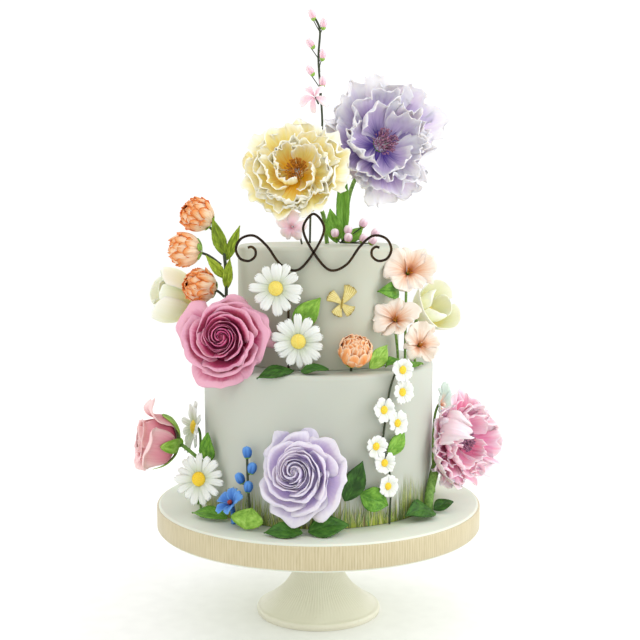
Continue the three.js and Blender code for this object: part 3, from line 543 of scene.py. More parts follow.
class Sugarwork:
    """One piece in the making, in millimetres: its points, faces and paint numbers."""

    def __init__(self, place=None, size=1.0):
        self.place = place or Matrix.Identity(4)
        self.size = size
        self.points = []
        self.faces = []
        self.paint = []

    def grid(self, columns, rows, at, tone=0.5, closed=False):
        """A sheet: at(u, v) is its point, for u from -1 to 1 across and v from 0 to 1 along."""
        first = len(self.points)
        width = columns if closed else columns + 1
        for row in range(rows + 1):
            for column in range(width):
                u = 2 * column / columns - 1
                v = row / rows
                self.points.append(self.place @ (self.size * Vector(at(u, v))))
                self.paint.append((v, u, tone))
        for row in range(rows):
            for column in range(columns):
                a = first + row * width + column
                b = first + row * width + (column + 1) % width
                self.faces.append((a, b, b + width, a + width))

    def tube(self, path, radius, steps, sides=8):
        """A round wire along a smooth path, closed at both ends."""
        middle = [Vector(curve_at(path, i / steps)) for i in range(steps + 1)]
        side = Vector((1, 0, 0))
        rings = []
        for i, point in enumerate(middle):
            ahead = (middle[min(i + 1, steps)] - middle[max(i - 1, 0)]).normalized()
            side = side - ahead * side.dot(ahead)
            if side.length < 0.01:
                side = ahead.orthogonal()
            side.normalize()
            rings.append((point, side.copy(), ahead.cross(side)))

        def at(u, v):
            row = round(v * (steps + 2)) - 1
            reach = radius if 0 <= row <= steps else 0.0
            point, first, second = rings[min(max(row, 0), steps)]
            angle = math.pi * u
            return point + (first * math.cos(angle) + second * math.sin(angle)) * reach

        self.grid(sides, steps + 2, at, closed=True)

    def ball(self, centre, axis, radius, half_height, sides=14, rings=10, dents=0, depth=0.0, tone=0.5,
             blunt=1.0):
        """An egg on an axis, or with a low blunt a barrel, with dents down its sides."""
        centre, axis = Vector(centre), Vector(axis).normalized()
        side = axis.orthogonal().normalized()
        other = axis.cross(side)

        def at(u, v):
            turn = math.pi * u
            tilt = math.pi * (1 - v)
            seam = 1 - abs(math.sin(dents * turn / 2)) ** 0.4
            reach = radius * max(0.0, math.sin(tilt)) ** blunt * (1 - depth * seam)
            around = side * math.cos(turn) + other * math.sin(turn)
            return centre + around * reach + axis * (half_height * math.cos(tilt))

        self.grid(sides, rings, at, tone, closed=True)

    def make(self, name, finish, node, slot, thickness=0.0):
        """Turn what was gathered into one piece that rides on the cake in a CAD node's place."""
        mesh = bpy.data.meshes.new(name)
        mesh.from_pydata([point * MM for point in self.points], [], self.faces)
        paint = mesh.attributes.new("paint", "FLOAT_VECTOR", "POINT")
        paint.data.foreach_set("vector", [number for numbers in self.paint for number in numbers])
        mesh.shade_smooth()
        mesh.materials.append(finish)
        piece = bpy.data.objects.new(name, mesh)
        scene.collection.objects.link(piece)
        if thickness:
            paste = piece.modifiers.new("paste", "SOLIDIFY")
            paste.thickness = thickness * MM
            paste.offset = 0
        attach(piece, "root")
        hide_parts(node)


print("sugar paste is ready")

# %% [markdown]
# A flower is placed by its centre and by where it looks: so many degrees round from the cake's
# front, and so many up. Behind the petals most of them have a green calyx and a taped wire, and
# both are made here, since they differ only in their measures.

# %% Where a flower sits, its calyx and its wire
def facing(centre, azimuth, elevation):
    """The space of a flower that looks out from the cake's front by an azimuth."""
    turn, lift = math.radians(azimuth), math.radians(elevation)
    outward = Vector((math.sin(turn) * math.cos(lift), -math.cos(turn) * math.cos(lift), math.sin(lift)))
    across = Vector((0, 0, 1)).cross(outward).normalized()
    upward = outward.cross(across)
    place = Matrix((across, upward, outward)).transposed().to_4x4()
    place.translation = Vector(centre)
    return place


def round_point(azimuth, radius, height):
    """A point so far from the cake's axis, so many degrees round from its front."""
    turn = math.radians(azimuth)
    return (radius * math.sin(turn), -radius * math.cos(turn), height)


def begin_flower(node, centre, azimuth, elevation, size):
    """The dice that make it uneven, its space, and the piece that its petals go into."""
    place = facing(centre, azimuth, elevation)
    return random.Random(node), place, Sugarwork(place, size)


def add_calyx(node, place, size, height, radius, half_height, sides=12):
    """The green cup behind a flower, in shares of the flower's size."""
    back = Sugarwork(place, size)
    back.ball((0, 0, height), OUTWARD, radius, half_height, sides=sides, rings=6)
    back.make(node + "_calyx", LEAVES["mid"], node, "leaf_mid")


def add_wire(name, node, path, radius, finish=GREEN_TAPE, slot="leaf_dark"):
    """The taped wire that carries a flower."""
    wire = Sugarwork()
    wire.tube(path, radius, steps=4 * len(path))
    wire.make(name, finish, node, slot)


# %% [markdown]
# The tiers and the board are turned forms: a section goes round the axis. A real tier has a
# softly rounded top edge where the paste bends over, and its side is almost straight. Turning a
# section in code keeps the exact sizes of the CAD node, with rings close together on the bend.

# %% The tiers and the board
BOARD_RADIUS = 151.0
LOWER_RADIUS = 107.0
UPPER_RADIUS = 75.0
BOARD_LEVELS = (86.3, 110.0)
LOWER_LEVELS = (110.3, 243.0)
UPPER_LEVELS = (243.3, 351.0)
ON_BOARD, ON_SHELF, ON_TOP = 110.6, 243.6, 351.6


def rounded_section(radius, low, high, edge, bottom_edge):
    """A section from the middle of the bottom, round both edges, to the middle of the top."""
    bottom = [(radius - bottom_edge * (1 - math.sin(t)), low + bottom_edge * (1 - math.cos(t)))
              for t in [math.radians(15 * i) for i in range(7)]]
    top = [(radius - edge * (1 - math.cos(t)), high - edge * (1 - math.sin(t)))
           for t in [math.radians(9 * i) for i in range(11)]]
    side = [(radius, low + bottom_edge + (high - edge - low - bottom_edge) * i / 12) for i in range(1, 12)]
    lid = [(radius - edge - (radius - edge) * i / 8, high) for i in range(1, 9)]
    return [(0.0, low), (radius * 0.6, low)] + bottom + side + top + lid


def turned(name, node, section, finish, slot, sides=160, wander=0.0):
    """A section turned round the cake's axis. wander lets a hand-made side swell a little."""
    work = Sugarwork()

    def at(u, v):
        radius, height = section[round(v * (len(section) - 1))]
        angle = math.pi * u
        swell = wander * math.sin(3 * angle + 0.05 * height) * math.sin(0.04 * height + 1)
        reach = max(radius + swell * min(1.0, radius / 40), 0.0)
        return (reach * math.sin(angle), -reach * math.cos(angle), height)

    work.grid(sides, len(section) - 1, at, closed=True)
    work.make(name, finish, node, slot)


turned("lower_tier_fondant", "lower_tier", rounded_section(LOWER_RADIUS, *LOWER_LEVELS, 4.0, 0.6),
       SHADED_WASHED_FONDANT, "fondant", wander=0.25)
turned("upper_tier_fondant", "upper_tier", rounded_section(UPPER_RADIUS, *UPPER_LEVELS, 4.0, 0.6),
       SHADED_UPPER_FONDANT, "fondant", wander=0.2)
turned("board_icing", "cake_board", rounded_section(BOARD_RADIUS, *BOARD_LEVELS, 2.5, 1.0),
       BOARD_ICING, "fondant")
print("tiers of", 2 * LOWER_RADIUS, "and", 2 * UPPER_RADIUS, "mm across")

# %% [markdown]
# The ribbon round the board is corded: fine upright ribs run all round it. A bump map would lose
# them at the edge, where the light shows them best, so the ribs are real here. Every third column
# of the sheet is pressed in as the groove between two cords, and its darker tone is painted shade.

# %% The corded ribbon
RIBBON_RADII = (150.8, 152.4)
RIBBON_LEVELS = (87.9, 108.4)
RIBBON_CORDS = 380
GROOVE = 0.3


def corded_ribbon():
    work = Sugarwork()
    inner, outer = RIBBON_RADII
    low, high = RIBBON_LEVELS
    columns = RIBBON_CORDS * 3
    section = [(0, 0), (0.7, 0), (1, 0.04), (1, 0.5), (1, 0.96), (0.7, 1), (0, 1)]

    def in_groove(u):
        return round((u + 1) / 2 * columns) % 3 == 0

    def at(u, v):
        out, up = section[round(v * (len(section) - 1))]
        radius = inner + (outer - inner) * out - (GROOVE * out if in_groove(u) else 0)
        angle = math.pi * u
        return (radius * math.sin(angle), -radius * math.cos(angle), low + (high - low) * up)

    work.grid(columns, len(section) - 1, at, closed=True)
    # A groove gets a low tone: painted shade between two cords.
    work.paint = [(v, u, 0.15 if in_groove(u) else 0.6) for v, u, _ in work.paint]
    work.make("corded_ribbon", RIBBON, "board_ribbon", "ribbon")


corded_ribbon()
print("the ribbon has", RIBBON_CORDS, "cords")

# %% [markdown]
# The foot is a turned cream stand with a low dish-shaped base. Fine ribs climb its flare and fade
# out above the rounded rim. The section is the CAD node's own, smoothed, and a rib is a small
# swing of the radius as the section goes round.

# %% The ribbed foot
FOOT_SECTION = [
    (0, 0), (30, 0), (55.5, 0), (58.0, 1.0), (59, 3.5), (58.0, 6.0), (55.5, 7.0), (51.5, 9.6), (47, 13),
    (40.5, 18), (36.4, 21.5), (32.5, 25.5), (26.6, 34), (21.8, 45), (19.5, 57), (20.2, 64), (22, 71.5),
    (25.6, 79.5), (30, 86), (15, 86), (0, 86),
]
FOOT_TOP = 86.0
FOOT_RIBS = 96
RIB_DEPTH = 0.55


def ribbed_foot():
    work = Sugarwork()

    def rib(angle, height):
        fade = min(1, max(0, (height - 9) / 14)) * min(1, max(0, (FOOT_TOP - 0.5 - height) / 2))
        return fade * (abs(math.cos(FOOT_RIBS * angle / 2)) - 0.6)

    def at(u, v):
        radius, height = curve_at(FOOT_SECTION, v)
        angle = math.pi * u
        swell = RIB_DEPTH * rib(angle, height) * (radius / 40) ** 0.5 if radius > 1 else 0
        reach = max(radius + swell, 0)
        return (reach * math.sin(angle), -reach * math.cos(angle), min(max(height, 0.0), FOOT_TOP))

    work.grid(FOOT_RIBS * 6, 4 * (len(FOOT_SECTION) - 1), at, closed=True)
    heights = {v: curve_at(FOOT_SECTION, v)[1] for v, _, _ in work.paint}
    # The tone follows the ribs: paler on their ridges, a painted highlight, and darker in the grooves,
    # painted shade.
    work.paint = [(v, u, 0.55 + 0.6 * rib(math.pi * u, heights[v])) for v, u, _ in work.paint]
    work.make("ribbed_foot", GLAZE, "stand_foot", "glazed_foot")


ribbed_foot()
print("the foot has", FOOT_RIBS, "ribs")

# %% [markdown]
# Round the foot of the lower tier the maker has painted grass with a fine brush: a great many thin
# upright strokes in several greens, thin and pale at their tips. Each stroke is a narrow strip
# that hugs the fondant a tenth of a millimetre proud of it, so it is seen from every side.

# %% The painted grass
def grass_finish():
    finish = Finish("painted_grass")
    along, across, tone = petal_paint(finish)
    brush = noise(finish, vector_of(finish, across * 2, along * 4, tone * 60))
    colour = ramp(finish, tone, (0.0, "4a6216"), (0.25, "75862e"), (0.5, "aab53e"), (0.7, "3f7236"),
                  (0.85, "6e5a34"), (1.0, "c4c87c"))
    thin = (along ** 2.2 * 0.85 + brush * 0.5 - 0.3).clamped()
    colour = mixed(finish, thin, colour, tint("c9ccb2"))
    return finish.wear(base_color=colour, roughness=0.5)


GRASS_STROKES = 2600


def painted_grass():
    dice = random.Random(7)
    work = Sugarwork()
    for _ in range(GRASS_STROKES):
        azimuth = dice.uniform(-180, 180)
        tuft = 0.7 + 0.3 * math.sin(math.radians(azimuth * 5) + 1) * math.sin(math.radians(azimuth * 13))
        tall = 1 + 0.3 * math.exp(-((azimuth - 58) / 25) ** 2)
        height = 6 + 34 * dice.random() ** 1.5 * tuft * tall
        lean = dice.gauss(0, 2.4)
        bend = dice.gauss(0, 2)
        half = dice.uniform(0.3, 0.85)
        proud = dice.uniform(0.06, 0.16)

        def at(u, v):
            aside = half * u * (1 - v ** 1.5) + lean * v + bend * v * v
            return round_point(azimuth + math.degrees(aside / LOWER_RADIUS), LOWER_RADIUS + 0.25 + proud,
                               ON_BOARD - 0.2 + height * v)

        work.grid(1, 5, at, tone=dice.random())
    work.make("painted_grass", grass_finish(), "lower_tier", "leaf_dark")


painted_grass()
print("grass in", GRASS_STROKES, "strokes")

# %% [markdown]
# Nearly every flower is made of petals that wrap round the flower's axis. Such a petal starts
# from a profile, a line of (radius, height) from its foot to its rim, in shares of the flower's
# size. Across the petal the line turns round the axis, the rim drops towards the sides so that it
# is round, and one side stands further out than the other, so that each petal laps the next.
# Waves and a ragged cut make the rim frilled, as a ball tool and a cocktail stick do.

# %% A petal that wraps round the axis
def ruffle(u, v, phase, waves):
    """An irregular wave along a rim, as fingers leave it."""
    slow = ruffles.noise(Vector((waves * u, 0.7 * v, 7.3 * phase)))
    quick = ruffles.noise(Vector((2.3 * waves * u, 1.1 * v, 3.1 * phase + 9)))
    return 1.7 * slow + 0.8 * quick


def wrapped(profile, turn, spread, drop=0.25, lean=0.0, frill=0.0, waves=3.0, fray=0.0, phase=0.0,
            cup=0.0, foot=0.45, notch=0.0, edge=2.5, curl=0.0, tip=0.0):
    """A petal round the axis. turn and spread, half its width, are in degrees.

    drop, edge, notch, tip and fray cut its rim, frill and waves ruffle it, and foot narrows its foot.
    lean brings one side outwards, cup bulges its middle, and curl rolls its corners out."""
    def at(u, v):
        ragged = fray * (0.5 + 0.5 * ruffle(u, 0, phase + 6, 1.5 * waves))
        top = 1 - drop * abs(u) ** edge - ragged - notch * math.exp(-((u / 0.28) ** 2))
        top -= tip * (1 - math.exp(-((u / 0.3) ** 2)))
        radius, height = curve_at(profile, v * top)
        width = foot + (1 - foot) * math.sin(math.pi / 2 * min(1, 1.5 * v))
        loose = frill * v * v
        angle = math.radians(turn + spread * u * width) + loose * ruffle(u, v, phase + 4, waves)
        radius += lean * u * v + loose * ruffle(u, v, phase, waves)
        rolled = curl * v ** 5 * abs(u) ** 1.3
        radius += cup * (1 - u * u) * math.sin(math.pi * v) + rolled
        height += 0.8 * loose * ruffle(u, v, phase + 2, waves) - 0.9 * rolled
        return (radius * math.sin(angle), radius * math.cos(angle), height)

    return at


print("petals can be wrapped")

# %% [markdown]
# No two petals of a ring are the same. Each draws its own size, turn, width and ruffle from a set
# of dice that belongs to its flower, so a flower is uneven, and yet the same at every run.

# %% A ring of petals
def petal_ring(work, dice, petals, spread, profile, start=0.0, columns=14, rows=12, jitter=0.06,
               ring_shade_tone=None, **shape):
    """A ring of wrapped petals, each a little different, and in the ring's own tone if it has one."""
    for petal in range(petals):
        grow = dice.uniform(1 - jitter, 1 + jitter)
        own = [(radius * grow, height * dice.uniform(1 - jitter, 1 + jitter)) for radius, height in profile]
        turn = start + 360 / petals * (petal + dice.uniform(-0.12, 0.12))
        at = wrapped(own, turn, spread * dice.uniform(0.92, 1.1), phase=dice.uniform(0, 6.3), **shape)
        # A ring's own tone is used by the roses as painted shade: the deeper the ring, the darker its
        # petals.
        tone = dice.random() if ring_shade_tone is None else ring_shade_tone + dice.uniform(-0.08, 0.08)
        work.grid(columns, rows, at, tone=tone)


print("petals can be set in rings")

# %% [markdown]
# Peonies are the largest flowers: a bowl of broad, frilled petals round a tuft of stamens. The
# outer petals lie open, the inner ones stand up and lean inwards. Their rims are thinned on a
# pad until they ruffle, so the frill is deep here and the cut is ragged. The stamens come first:
# fine threads that spread from the heart, each with a small head.

# %% A tuft of stamens
def stamens(node, slot, place, size, finish, count, radius, low, high, head):
    """A tuft of threads. head is the radius of their heads in millimetres."""
    name = node + "_stamens"
    dice = random.Random(name)
    work = Sugarwork(place, size)
    for _ in range(count):
        reach = radius * math.sqrt(dice.random())
        angle = dice.uniform(0, 2 * math.pi)
        foot = Vector((0.5 * reach * math.cos(angle), 0.5 * reach * math.sin(angle), low))
        tip = Vector((reach * math.cos(angle), reach * math.sin(angle),
                      high * dice.uniform(0.86, 1.04) - 0.25 * reach))
        work.tube([foot, (foot + tip) / 2, tip], 0.3 / size, steps=3, sides=4)
        work.ball(tip, tip - foot, head / size, 1.6 * head / size, sides=6, rings=4)
    work.make(name, finish, node, slot)


print("stamens are ready")

# %% [markdown]
# All three peonies come from one function. They differ in colour, in how deep their bowl is and in
# their rings of petals, which are written from the outside in. The petals of the outer rings are
# long and lie open, and those of the inner ones are short and stand up round the stamens.

# %% The peonies
def peony(node, seat, depth, colour, stamen_finish, rings, wire, radius):
    """seat is the flower's centre, azimuth, elevation and size, and depth its height by its size."""
    slot = "petal_" + colour
    size = seat[-1]
    dice, place, work = begin_flower(node, *seat)
    for petals, reach, rise, bow, spread, frill, fray in rings:
        high = rise * depth
        profile = [(0.07, -0.02), (reach * bow, high * 0.22), (reach * 0.9, high * 0.7), (reach, high)]
        petal_ring(work, dice, petals, spread, profile, start=dice.uniform(0, 72), columns=44, rows=14,
                   lean=0.1, frill=1.25 * frill, waves=3.4, fray=1.3 * fray, drop=0.26, cup=0.09, foot=0.35,
                   edge=2.4, jitter=0.17)
    work.ball((0, 0, 0.04), OUTWARD, 0.13, 0.09, sides=12, rings=6)
    work.make(node + "_petals", PETALS[colour], node, slot, thickness=0.45)
    stamens(node, slot, place, size, stamen_finish, 120, 0.22, 0.06, 0.1 + 0.5 * depth, 0.8)
    add_calyx(node, place, size, -0.02, 0.15, 0.07)
    add_wire(node + "_wire", node, wire, radius)


# A ring is (petals, reach, rise, bow, half a petal's width in degrees, frill, fray).
OPEN_BOWL = [
    (5, 0.94, 0.3, 0.62, 48, 0.09, 0.1),
    (5, 0.92, 0.66, 0.58, 46, 0.09, 0.1),
    (5, 0.76, 0.86, 0.6, 48, 0.085, 0.1),
    (5, 0.58, 1.0, 0.64, 48, 0.07, 0.09),
    (4, 0.4, 1.06, 0.72, 54, 0.05, 0.08),
]
peony("peony_yellow", ((-19, -15, 416), -5, 20, 47), 0.42, "yellow", GOLD_STAMENS, OPEN_BOWL,
      [(-18, -12, 414), (-8, -6, 398), (4, -3, 380), (8, -4, ON_TOP)], 2)
peony("peony_purple", ((59, 24, 444), 15, 10, 57), 0.5, "purple", PINK_STAMENS,
      [(5, 0.93, 0.28, 0.6, 46, 0.1, 0.15), (5, 0.92, 0.62, 0.58, 44, 0.1, 0.14),
       (5, 0.74, 0.86, 0.6, 46, 0.09, 0.12), (4, 0.5, 1.02, 0.68, 52, 0.06, 0.1)],
      [(58.5, 29, 442), (44, 28, 428), (29, 16, 396), (25, 12, ON_TOP)], 2)
PINK_PEONY = ((130.5, -12, 168), 42, 5, 44)
peony("peony_pink", PINK_PEONY, 0.5, "pink", PINK_STAMENS,
      [(5, 0.95, 0.32, 0.6, 44, 0.12, 0.2), (5, 0.9, 0.68, 0.58, 42, 0.12, 0.2),
       (5, 0.74, 0.9, 0.6, 44, 0.1, 0.18), (4, 0.5, 1.04, 0.66, 50, 0.08, 0.16)],
      [(124, -11, 168), (114, -18, 158), (102, -47, 130), (100, -52, ON_BOARD + 1.2)], 4.2)
print("three peonies")

# %% [markdown]
# Two petals of the pink peony are paler than the rest. One folds over the flower's near side and
# hides part of its bowl, and one hangs below it. They don't belong to a ring, so each is wrapped
# by itself, with a profile that bends back over the middle.

# %% The folded petals of the pink peony
def folded_petals():
    work = begin_flower("peony_pink", *PINK_PEONY)[2]
    over = [(0.1, 0.0), (0.74, 0.14), (0.86, 0.5), (0.62, 0.74), (0.3, 0.72)]
    below = [(0.1, -0.04), (0.8, 0.04), (1.0, 0.34), (1.06, 0.56)]
    work.grid(28, 18, wrapped(over, -62, 27, drop=0.4, edge=1.6, frill=0.1, waves=3.0, fray=0.14, phase=1.7),
              tone=0.9)
    work.grid(32, 16, wrapped(below, -128, 38, drop=0.3, frill=0.1, waves=3.4, fray=0.16, phase=4.1),
              tone=0.8)
    work.make("peony_pink_folded_petals", PETALS["pale_pink"], "peony_pink", "petal_pink", thickness=0.45)


folded_petals()
print("the folded petals lie over", PINK_PEONY[0])

# %% [markdown]
# A sugar rose starts from a cone with one long strip wound round it, which makes the spiral in
# its middle. Petals follow in rings of growing width. The outer ones bend back at the rim, where
# the maker rolled them over a stick, so their profile turns outwards and down at its end.

# %% The roses
def wound_strip(work, turns, inner, outer, low, high):
    """The rose's spiral middle: one strip wound round the axis."""
    def at(u, v):
        share = (u + 1) / 2
        angle = 2 * math.pi * turns * share
        radius = inner + (outer - inner) * share + 0.02 * v * v
        top = high - 0.05 * share + 0.012 * math.sin(7 * angle)
        return (radius * math.sin(angle), radius * math.cos(angle), low + (top - low) * v)

    # A low tone: the spiral takes the heart's dark colour, partly painted shade in the flower's middle.
    work.grid(int(26 * turns), 6, at, tone=0.05)


def rose(node, centre, azimuth, elevation, size, colour, wire=None):
    """Outer rings lie flatter and vary more, and their petals have rounder tops."""
    dice, place, work = begin_flower(node, centre, azimuth, elevation, size)
    # The cone's two balls get the lowest tones, so where they show between the petals they are dark: painted
    # shade in the rose's hollows.
    work.ball((0, 0, 0.28), OUTWARD, 0.22, 0.28, sides=16, rings=8, tone=0.1)
    work.ball((0, 0, 0.06), OUTWARD, 0.5, 0.42, sides=24, rings=10, tone=-0.2)
    wound_strip(work, 1.6, 0.01, 0.08, 0.3, 0.65)
    # Each ring's tone is its reach, so the inner rings take more of the heart's colour: deeper dusting and
    # painted shade of the rose's deep middle.
    for petals, reach, rise, spread, roll, frill in ROSE_RINGS:
        profile = [(0.06, -0.04), (reach * 0.66, rise * 0.3), (reach * 0.93, rise * 0.76),
                   (reach, rise * 0.98), (reach + roll, rise - 0.2 * roll)]
        petal_ring(work, dice, petals, spread, profile, start=dice.uniform(0, 72), columns=26, rows=18,
                   lean=0.05 + 0.1 * reach, frill=1.15 * frill, waves=1.5, drop=0.62, foot=0.5,
                   edge=4 - 2.4 * reach, curl=1.3 * max(0, roll), tip=max(0, reach - 0.4) * 0.22,
                   ring_shade_tone=reach, jitter=0.04 + 0.08 * reach)
    work.make(node + "_petals", PETALS[colour], node, "petal_" + colour, thickness=0.35)
    add_calyx(node, place, size, -0.04, 0.16, 0.11)
    if wire:
        add_wire(node + "_wire", node, wire, 2.5)


# A ring is (petals, reach, rise, half a petal's width in degrees, roll, frill).
ROSE_RINGS = [
    (3, 0.13, 0.67, 100, -0.03, 0.005),
    (3, 0.2, 0.67, 96, -0.02, 0.01),
    (4, 0.28, 0.66, 78, 0.0, 0.02),
    (4, 0.36, 0.63, 74, 0.01, 0.025),
    (4, 0.47, 0.57, 68, 0.03, 0.04),
    (5, 0.6, 0.46, 58, 0.06, 0.055),
    (4, 0.73, 0.34, 62, 0.1, 0.07),
    (5, 0.86, 0.18, 50, 0.12, 0.08),
]
rose("rose_magenta", (-79, -73.8, 271), -10, 11, 41, "magenta",
     [(-80, -71, 272.5), (-77, -56, 266), (-76, -46, 254), (-75.7, -45.5, ON_SHELF + 0.4)])
rose("rose_lilac", (-13, -114.2, 160), -19, 18, 40, "lilac")
print("two roses")

# %% [markdown]
# The rosebud is half shut. Three petals hug each other, three more stand round them and three open
# with their tips curled back. Five pointed sepals hold it from behind.

# %% The rosebud
def rosebud(node, centre, azimuth, elevation, size, wire):
    dice, place, work = begin_flower(node, centre, azimuth, elevation, size)
    wound_strip(work, 2.0, 0.02, 0.22, 0.3, 0.95)
    petal_ring(work, dice, 3, 78, [(0.1, 0), (0.44, 0.2), (0.46, 0.55), (0.3, 0.9), (0.3, 0.98)], lean=0.05,
               columns=20, rows=16, drop=0.2, frill=0.01, edge=3.0)
    petal_ring(work, dice, 3, 62, [(0.1, 0), (0.5, 0.22), (0.53, 0.55), (0.44, 0.86), (0.56, 0.94)],
               start=40, lean=0.06, columns=20, rows=16, drop=0.24, frill=0.03, waves=1.2, edge=3.0)
    open_profile = [(0.1, -0.02), (0.54, 0.16), (0.66, 0.42), (0.66, 0.7), (0.82, 0.88), (1.0, 0.84)]
    petal_ring(work, dice, 3, 50, open_profile, start=-10, lean=0.04, columns=24, rows=18, drop=0.42,
               frill=0.09, waves=1.2, edge=2.2, curl=0.12)
    work.make(node + "_petals", PETALS["rosebud"], node, "petal_rosebud", thickness=0.5)
    sepals = Sugarwork(place, size)
    for sepal in range(5):
        profile = [(0.05, -0.1), (0.36, -0.03), (0.62, 0.2), (0.74, 0.5)]
        sepals.grid(12, 12, wrapped(profile, 72 * sepal + 20, 32, drop=0.8, edge=1.3, foot=0.8),
                    tone=dice.random())
    sepals.ball((0, 0, -0.08), OUTWARD, 0.13, 0.12, sides=12, rings=6)
    sepals.make(node + "_sepals", LEAVES["lime"], node, "leaf_mid", thickness=0.6)
    add_wire(node + "_wire", node, wire, 1.8)


rosebud("rosebud_pink", (-131.5, -32, 170.5), -74, 10, 36.5,
        [(-130, -32, 171), (-120, -37, 165), (-110, -42, 158), (-99.1, -43.6, 150)])
print("a rosebud of nine petals")

# %% [markdown]
# A ranunculus is a ball of many small cupped petals that close over each other towards the front.
# Each petal lies on a sphere, bulges between its sides and turns in at its tip. Rings of them,
# from the back to the front and each on a slightly smaller sphere, build up the head.

# %% A petal and a head of the ranunculus
def ball_petal(turn, spread, back, front, layer, bulge, proud=0.0, phase=0.0):
    """A petal on a sphere of radius layer, between two angles from the flower's front.

    A negative bulge makes it a hollow cup, and proud lifts its frilled tip off the sphere."""
    def at(u, v):
        tilt = math.radians(back + (front - back) * v * (1 - 0.2 * abs(u) ** 2.2))
        lobe = (1 - abs(u) ** 1.6) * math.sin(math.pi * min(1, 0.2 + 0.66 * v))
        tip = v ** 4 * proud * (1 + 0.9 * ruffle(u, v, phase, 2.4))
        reach = layer * (1 + bulge * lobe + tip)
        angle = math.radians(turn + spread * u)
        return (reach * math.sin(tilt) * math.sin(angle), reach * math.sin(tilt) * math.cos(angle),
                reach * math.cos(tilt))

    return at


RANUNCULUS = 15.5
OUTER_LAYER = 0.84


def ranunculus(node, centre, azimuth, elevation, rings, wire, bulge=0.13, proud=0.13, colour="peach"):
    dice, place, work = begin_flower(node, centre, azimuth, elevation, RANUNCULUS)
    work.ball((0, 0, 0), OUTWARD, 0.74, 0.74, sides=16, rings=10)
    for petals, back, front, layer in rings:
        start = dice.uniform(0, 60)
        own_bulge = bulge if layer < OUTER_LAYER else abs(bulge)
        for petal in range(petals):
            turn = start + 360 / petals * (petal + dice.uniform(-0.1, 0.1))
            own_front = front * dice.uniform(0.7, 1.3)
            phase = dice.uniform(0, 6.3)
            at = ball_petal(turn, 200 / petals, back, own_front, layer, own_bulge, proud, phase)
            work.grid(12, 12, at, tone=dice.random())
    work.make(node + "_petals", PETALS[colour], node, "petal_peach", thickness=0.4)
    cup = Sugarwork(place, RANUNCULUS)
    for sepal in range(5):
        cup.grid(6, 6, ball_petal(72 * sepal, 26, 178, 138, 1.0, 0.03), tone=dice.random())
    cup.make(node + "_sepals", LEAVES["lime"], node, "leaf_lime", thickness=0.5)
    add_wire(node + "_wire", node, wire, 1.2, DARK_TAPE)


print("ranunculus heads are", 2 * RANUNCULUS, "mm across")

# %% [markdown]
# Three heads hang shut at the left, and one stands open on the shelf. The open one has more rings,
# and its inner petals are hollow cups instead of bulges, with orange inside them that is partly
# powder and partly painted shade.

# %% The four ranunculus heads
# A ring is (petals, back angle, front angle, share of the head's radius).
HEAD_RINGS = [
    (10, 168, 74, 0.87),
    (10, 140, 54, 0.85),
    (9, 112, 38, 0.83),
    (7, 88, 24, 0.81),
    (5, 64, 10, 0.78),
]
FRONT_HEAD_RINGS = [
    (10, 170, 78, 0.88),
    (10, 134, 56, 0.86),
    (9, 96, 42, 0.83),
    (8, 76, 28, 0.81),
    (6, 54, 15, 0.79),
    (4, 36, 4, 0.76),
]
ranunculus("ranunculus_high", (-109.3, -30, 378.6), -60, 30, HEAD_RINGS,
           [(-109.3, -30, 378.6), (-98, -28, 367), (-92.5, -34, 362)])
ranunculus("ranunculus_middle", (-120.4, -35, 347.4), -85, 0, HEAD_RINGS,
           [(-120.4, -35, 347.4), (-101, -35, 343), (-87.5, -38.5, 334)])
ranunculus("ranunculus_low", (-106, -45, 315.3), -50, 10, HEAD_RINGS,
           [(-106, -45, 315.3), (-92, -40, 311), (-84.6, -42.3, 305.5)])
ranunculus("ranunculus_front", (32.1, -89, 263), 12, 48, FRONT_HEAD_RINGS,
           [(30, -84, 256), (29, -81, 250), (28.5, -80, ON_SHELF)], -0.1, 0.05, "open_peach")
print("four ranunculus heads")

# %% [markdown]
# A daisy is cut with one cutter: long narrow petals with round ends and two pressed grooves,
# round a raised eye that was pushed into a sieve. The petals differ a little in length, lift and
# turn, because the cutter's points are parted by hand.

# %% The daisies
def long_petal(turn, start, reach, half, lift, droop, phase):
    """A narrow petal with a round, bitten end and two pressed grooves. half is half its width."""
    def at(u, v):
        blunt = 1.0 if v < 0.8 else math.sqrt(max(0.0, 1 - ((v - 0.8) / 0.22) ** 2))
        wide = half * (0.45 + 0.55 * math.sin(math.pi / 2 * min(1, 1.3 * v))) * blunt
        bitten = 0.05 * v ** 8 * (1 + math.sin(7 * u + phase))
        out = start + (reach - start) * (v - bitten)
        height = lift * math.sin(math.pi * 0.6 * v) - droop * v * v
        height += 0.014 * math.cos(3 * math.pi * u) - 0.25 * wide * u * u
        sine, cosine = math.sin(math.radians(turn)), math.cos(math.radians(turn))
        aside = wide * u
        return (out * sine + aside * cosine, out * cosine - aside * sine, height)

    return at


DAISY = 24.5


def daisy(node, centre, azimuth, elevation, petals, eye=PALE_EYE, cup=0.0, wire=None):
    """cup lifts the petals, as on a daisy that isn't fully open."""
    dice, place, work = begin_flower(node, centre, azimuth, elevation, DAISY)
    for petal in range(petals):
        turn = 360 / petals * (petal + dice.uniform(-0.16, 0.16))
        at = long_petal(turn, 0.1, dice.uniform(0.88, 1.02), dice.uniform(1.85, 2.35) / petals,
                        dice.uniform(0.06, 0.2) + cup, dice.uniform(-0.04, 0.14) - cup, dice.uniform(0, 6.3))
        work.grid(10, 16, at, tone=dice.random())
    work.make(node + "_petals", PETALS["white"], node, "petal_white", thickness=0.7)
    middle = Sugarwork(place, DAISY)
    middle.ball((0, 0, 0.08), OUTWARD, 0.27, 0.13, sides=18, rings=10)
    middle.make(node + "_eye", eye, node, "petal_yellow")
    if wire:
        add_wire(node + "_wire", node, wire, 1.2)


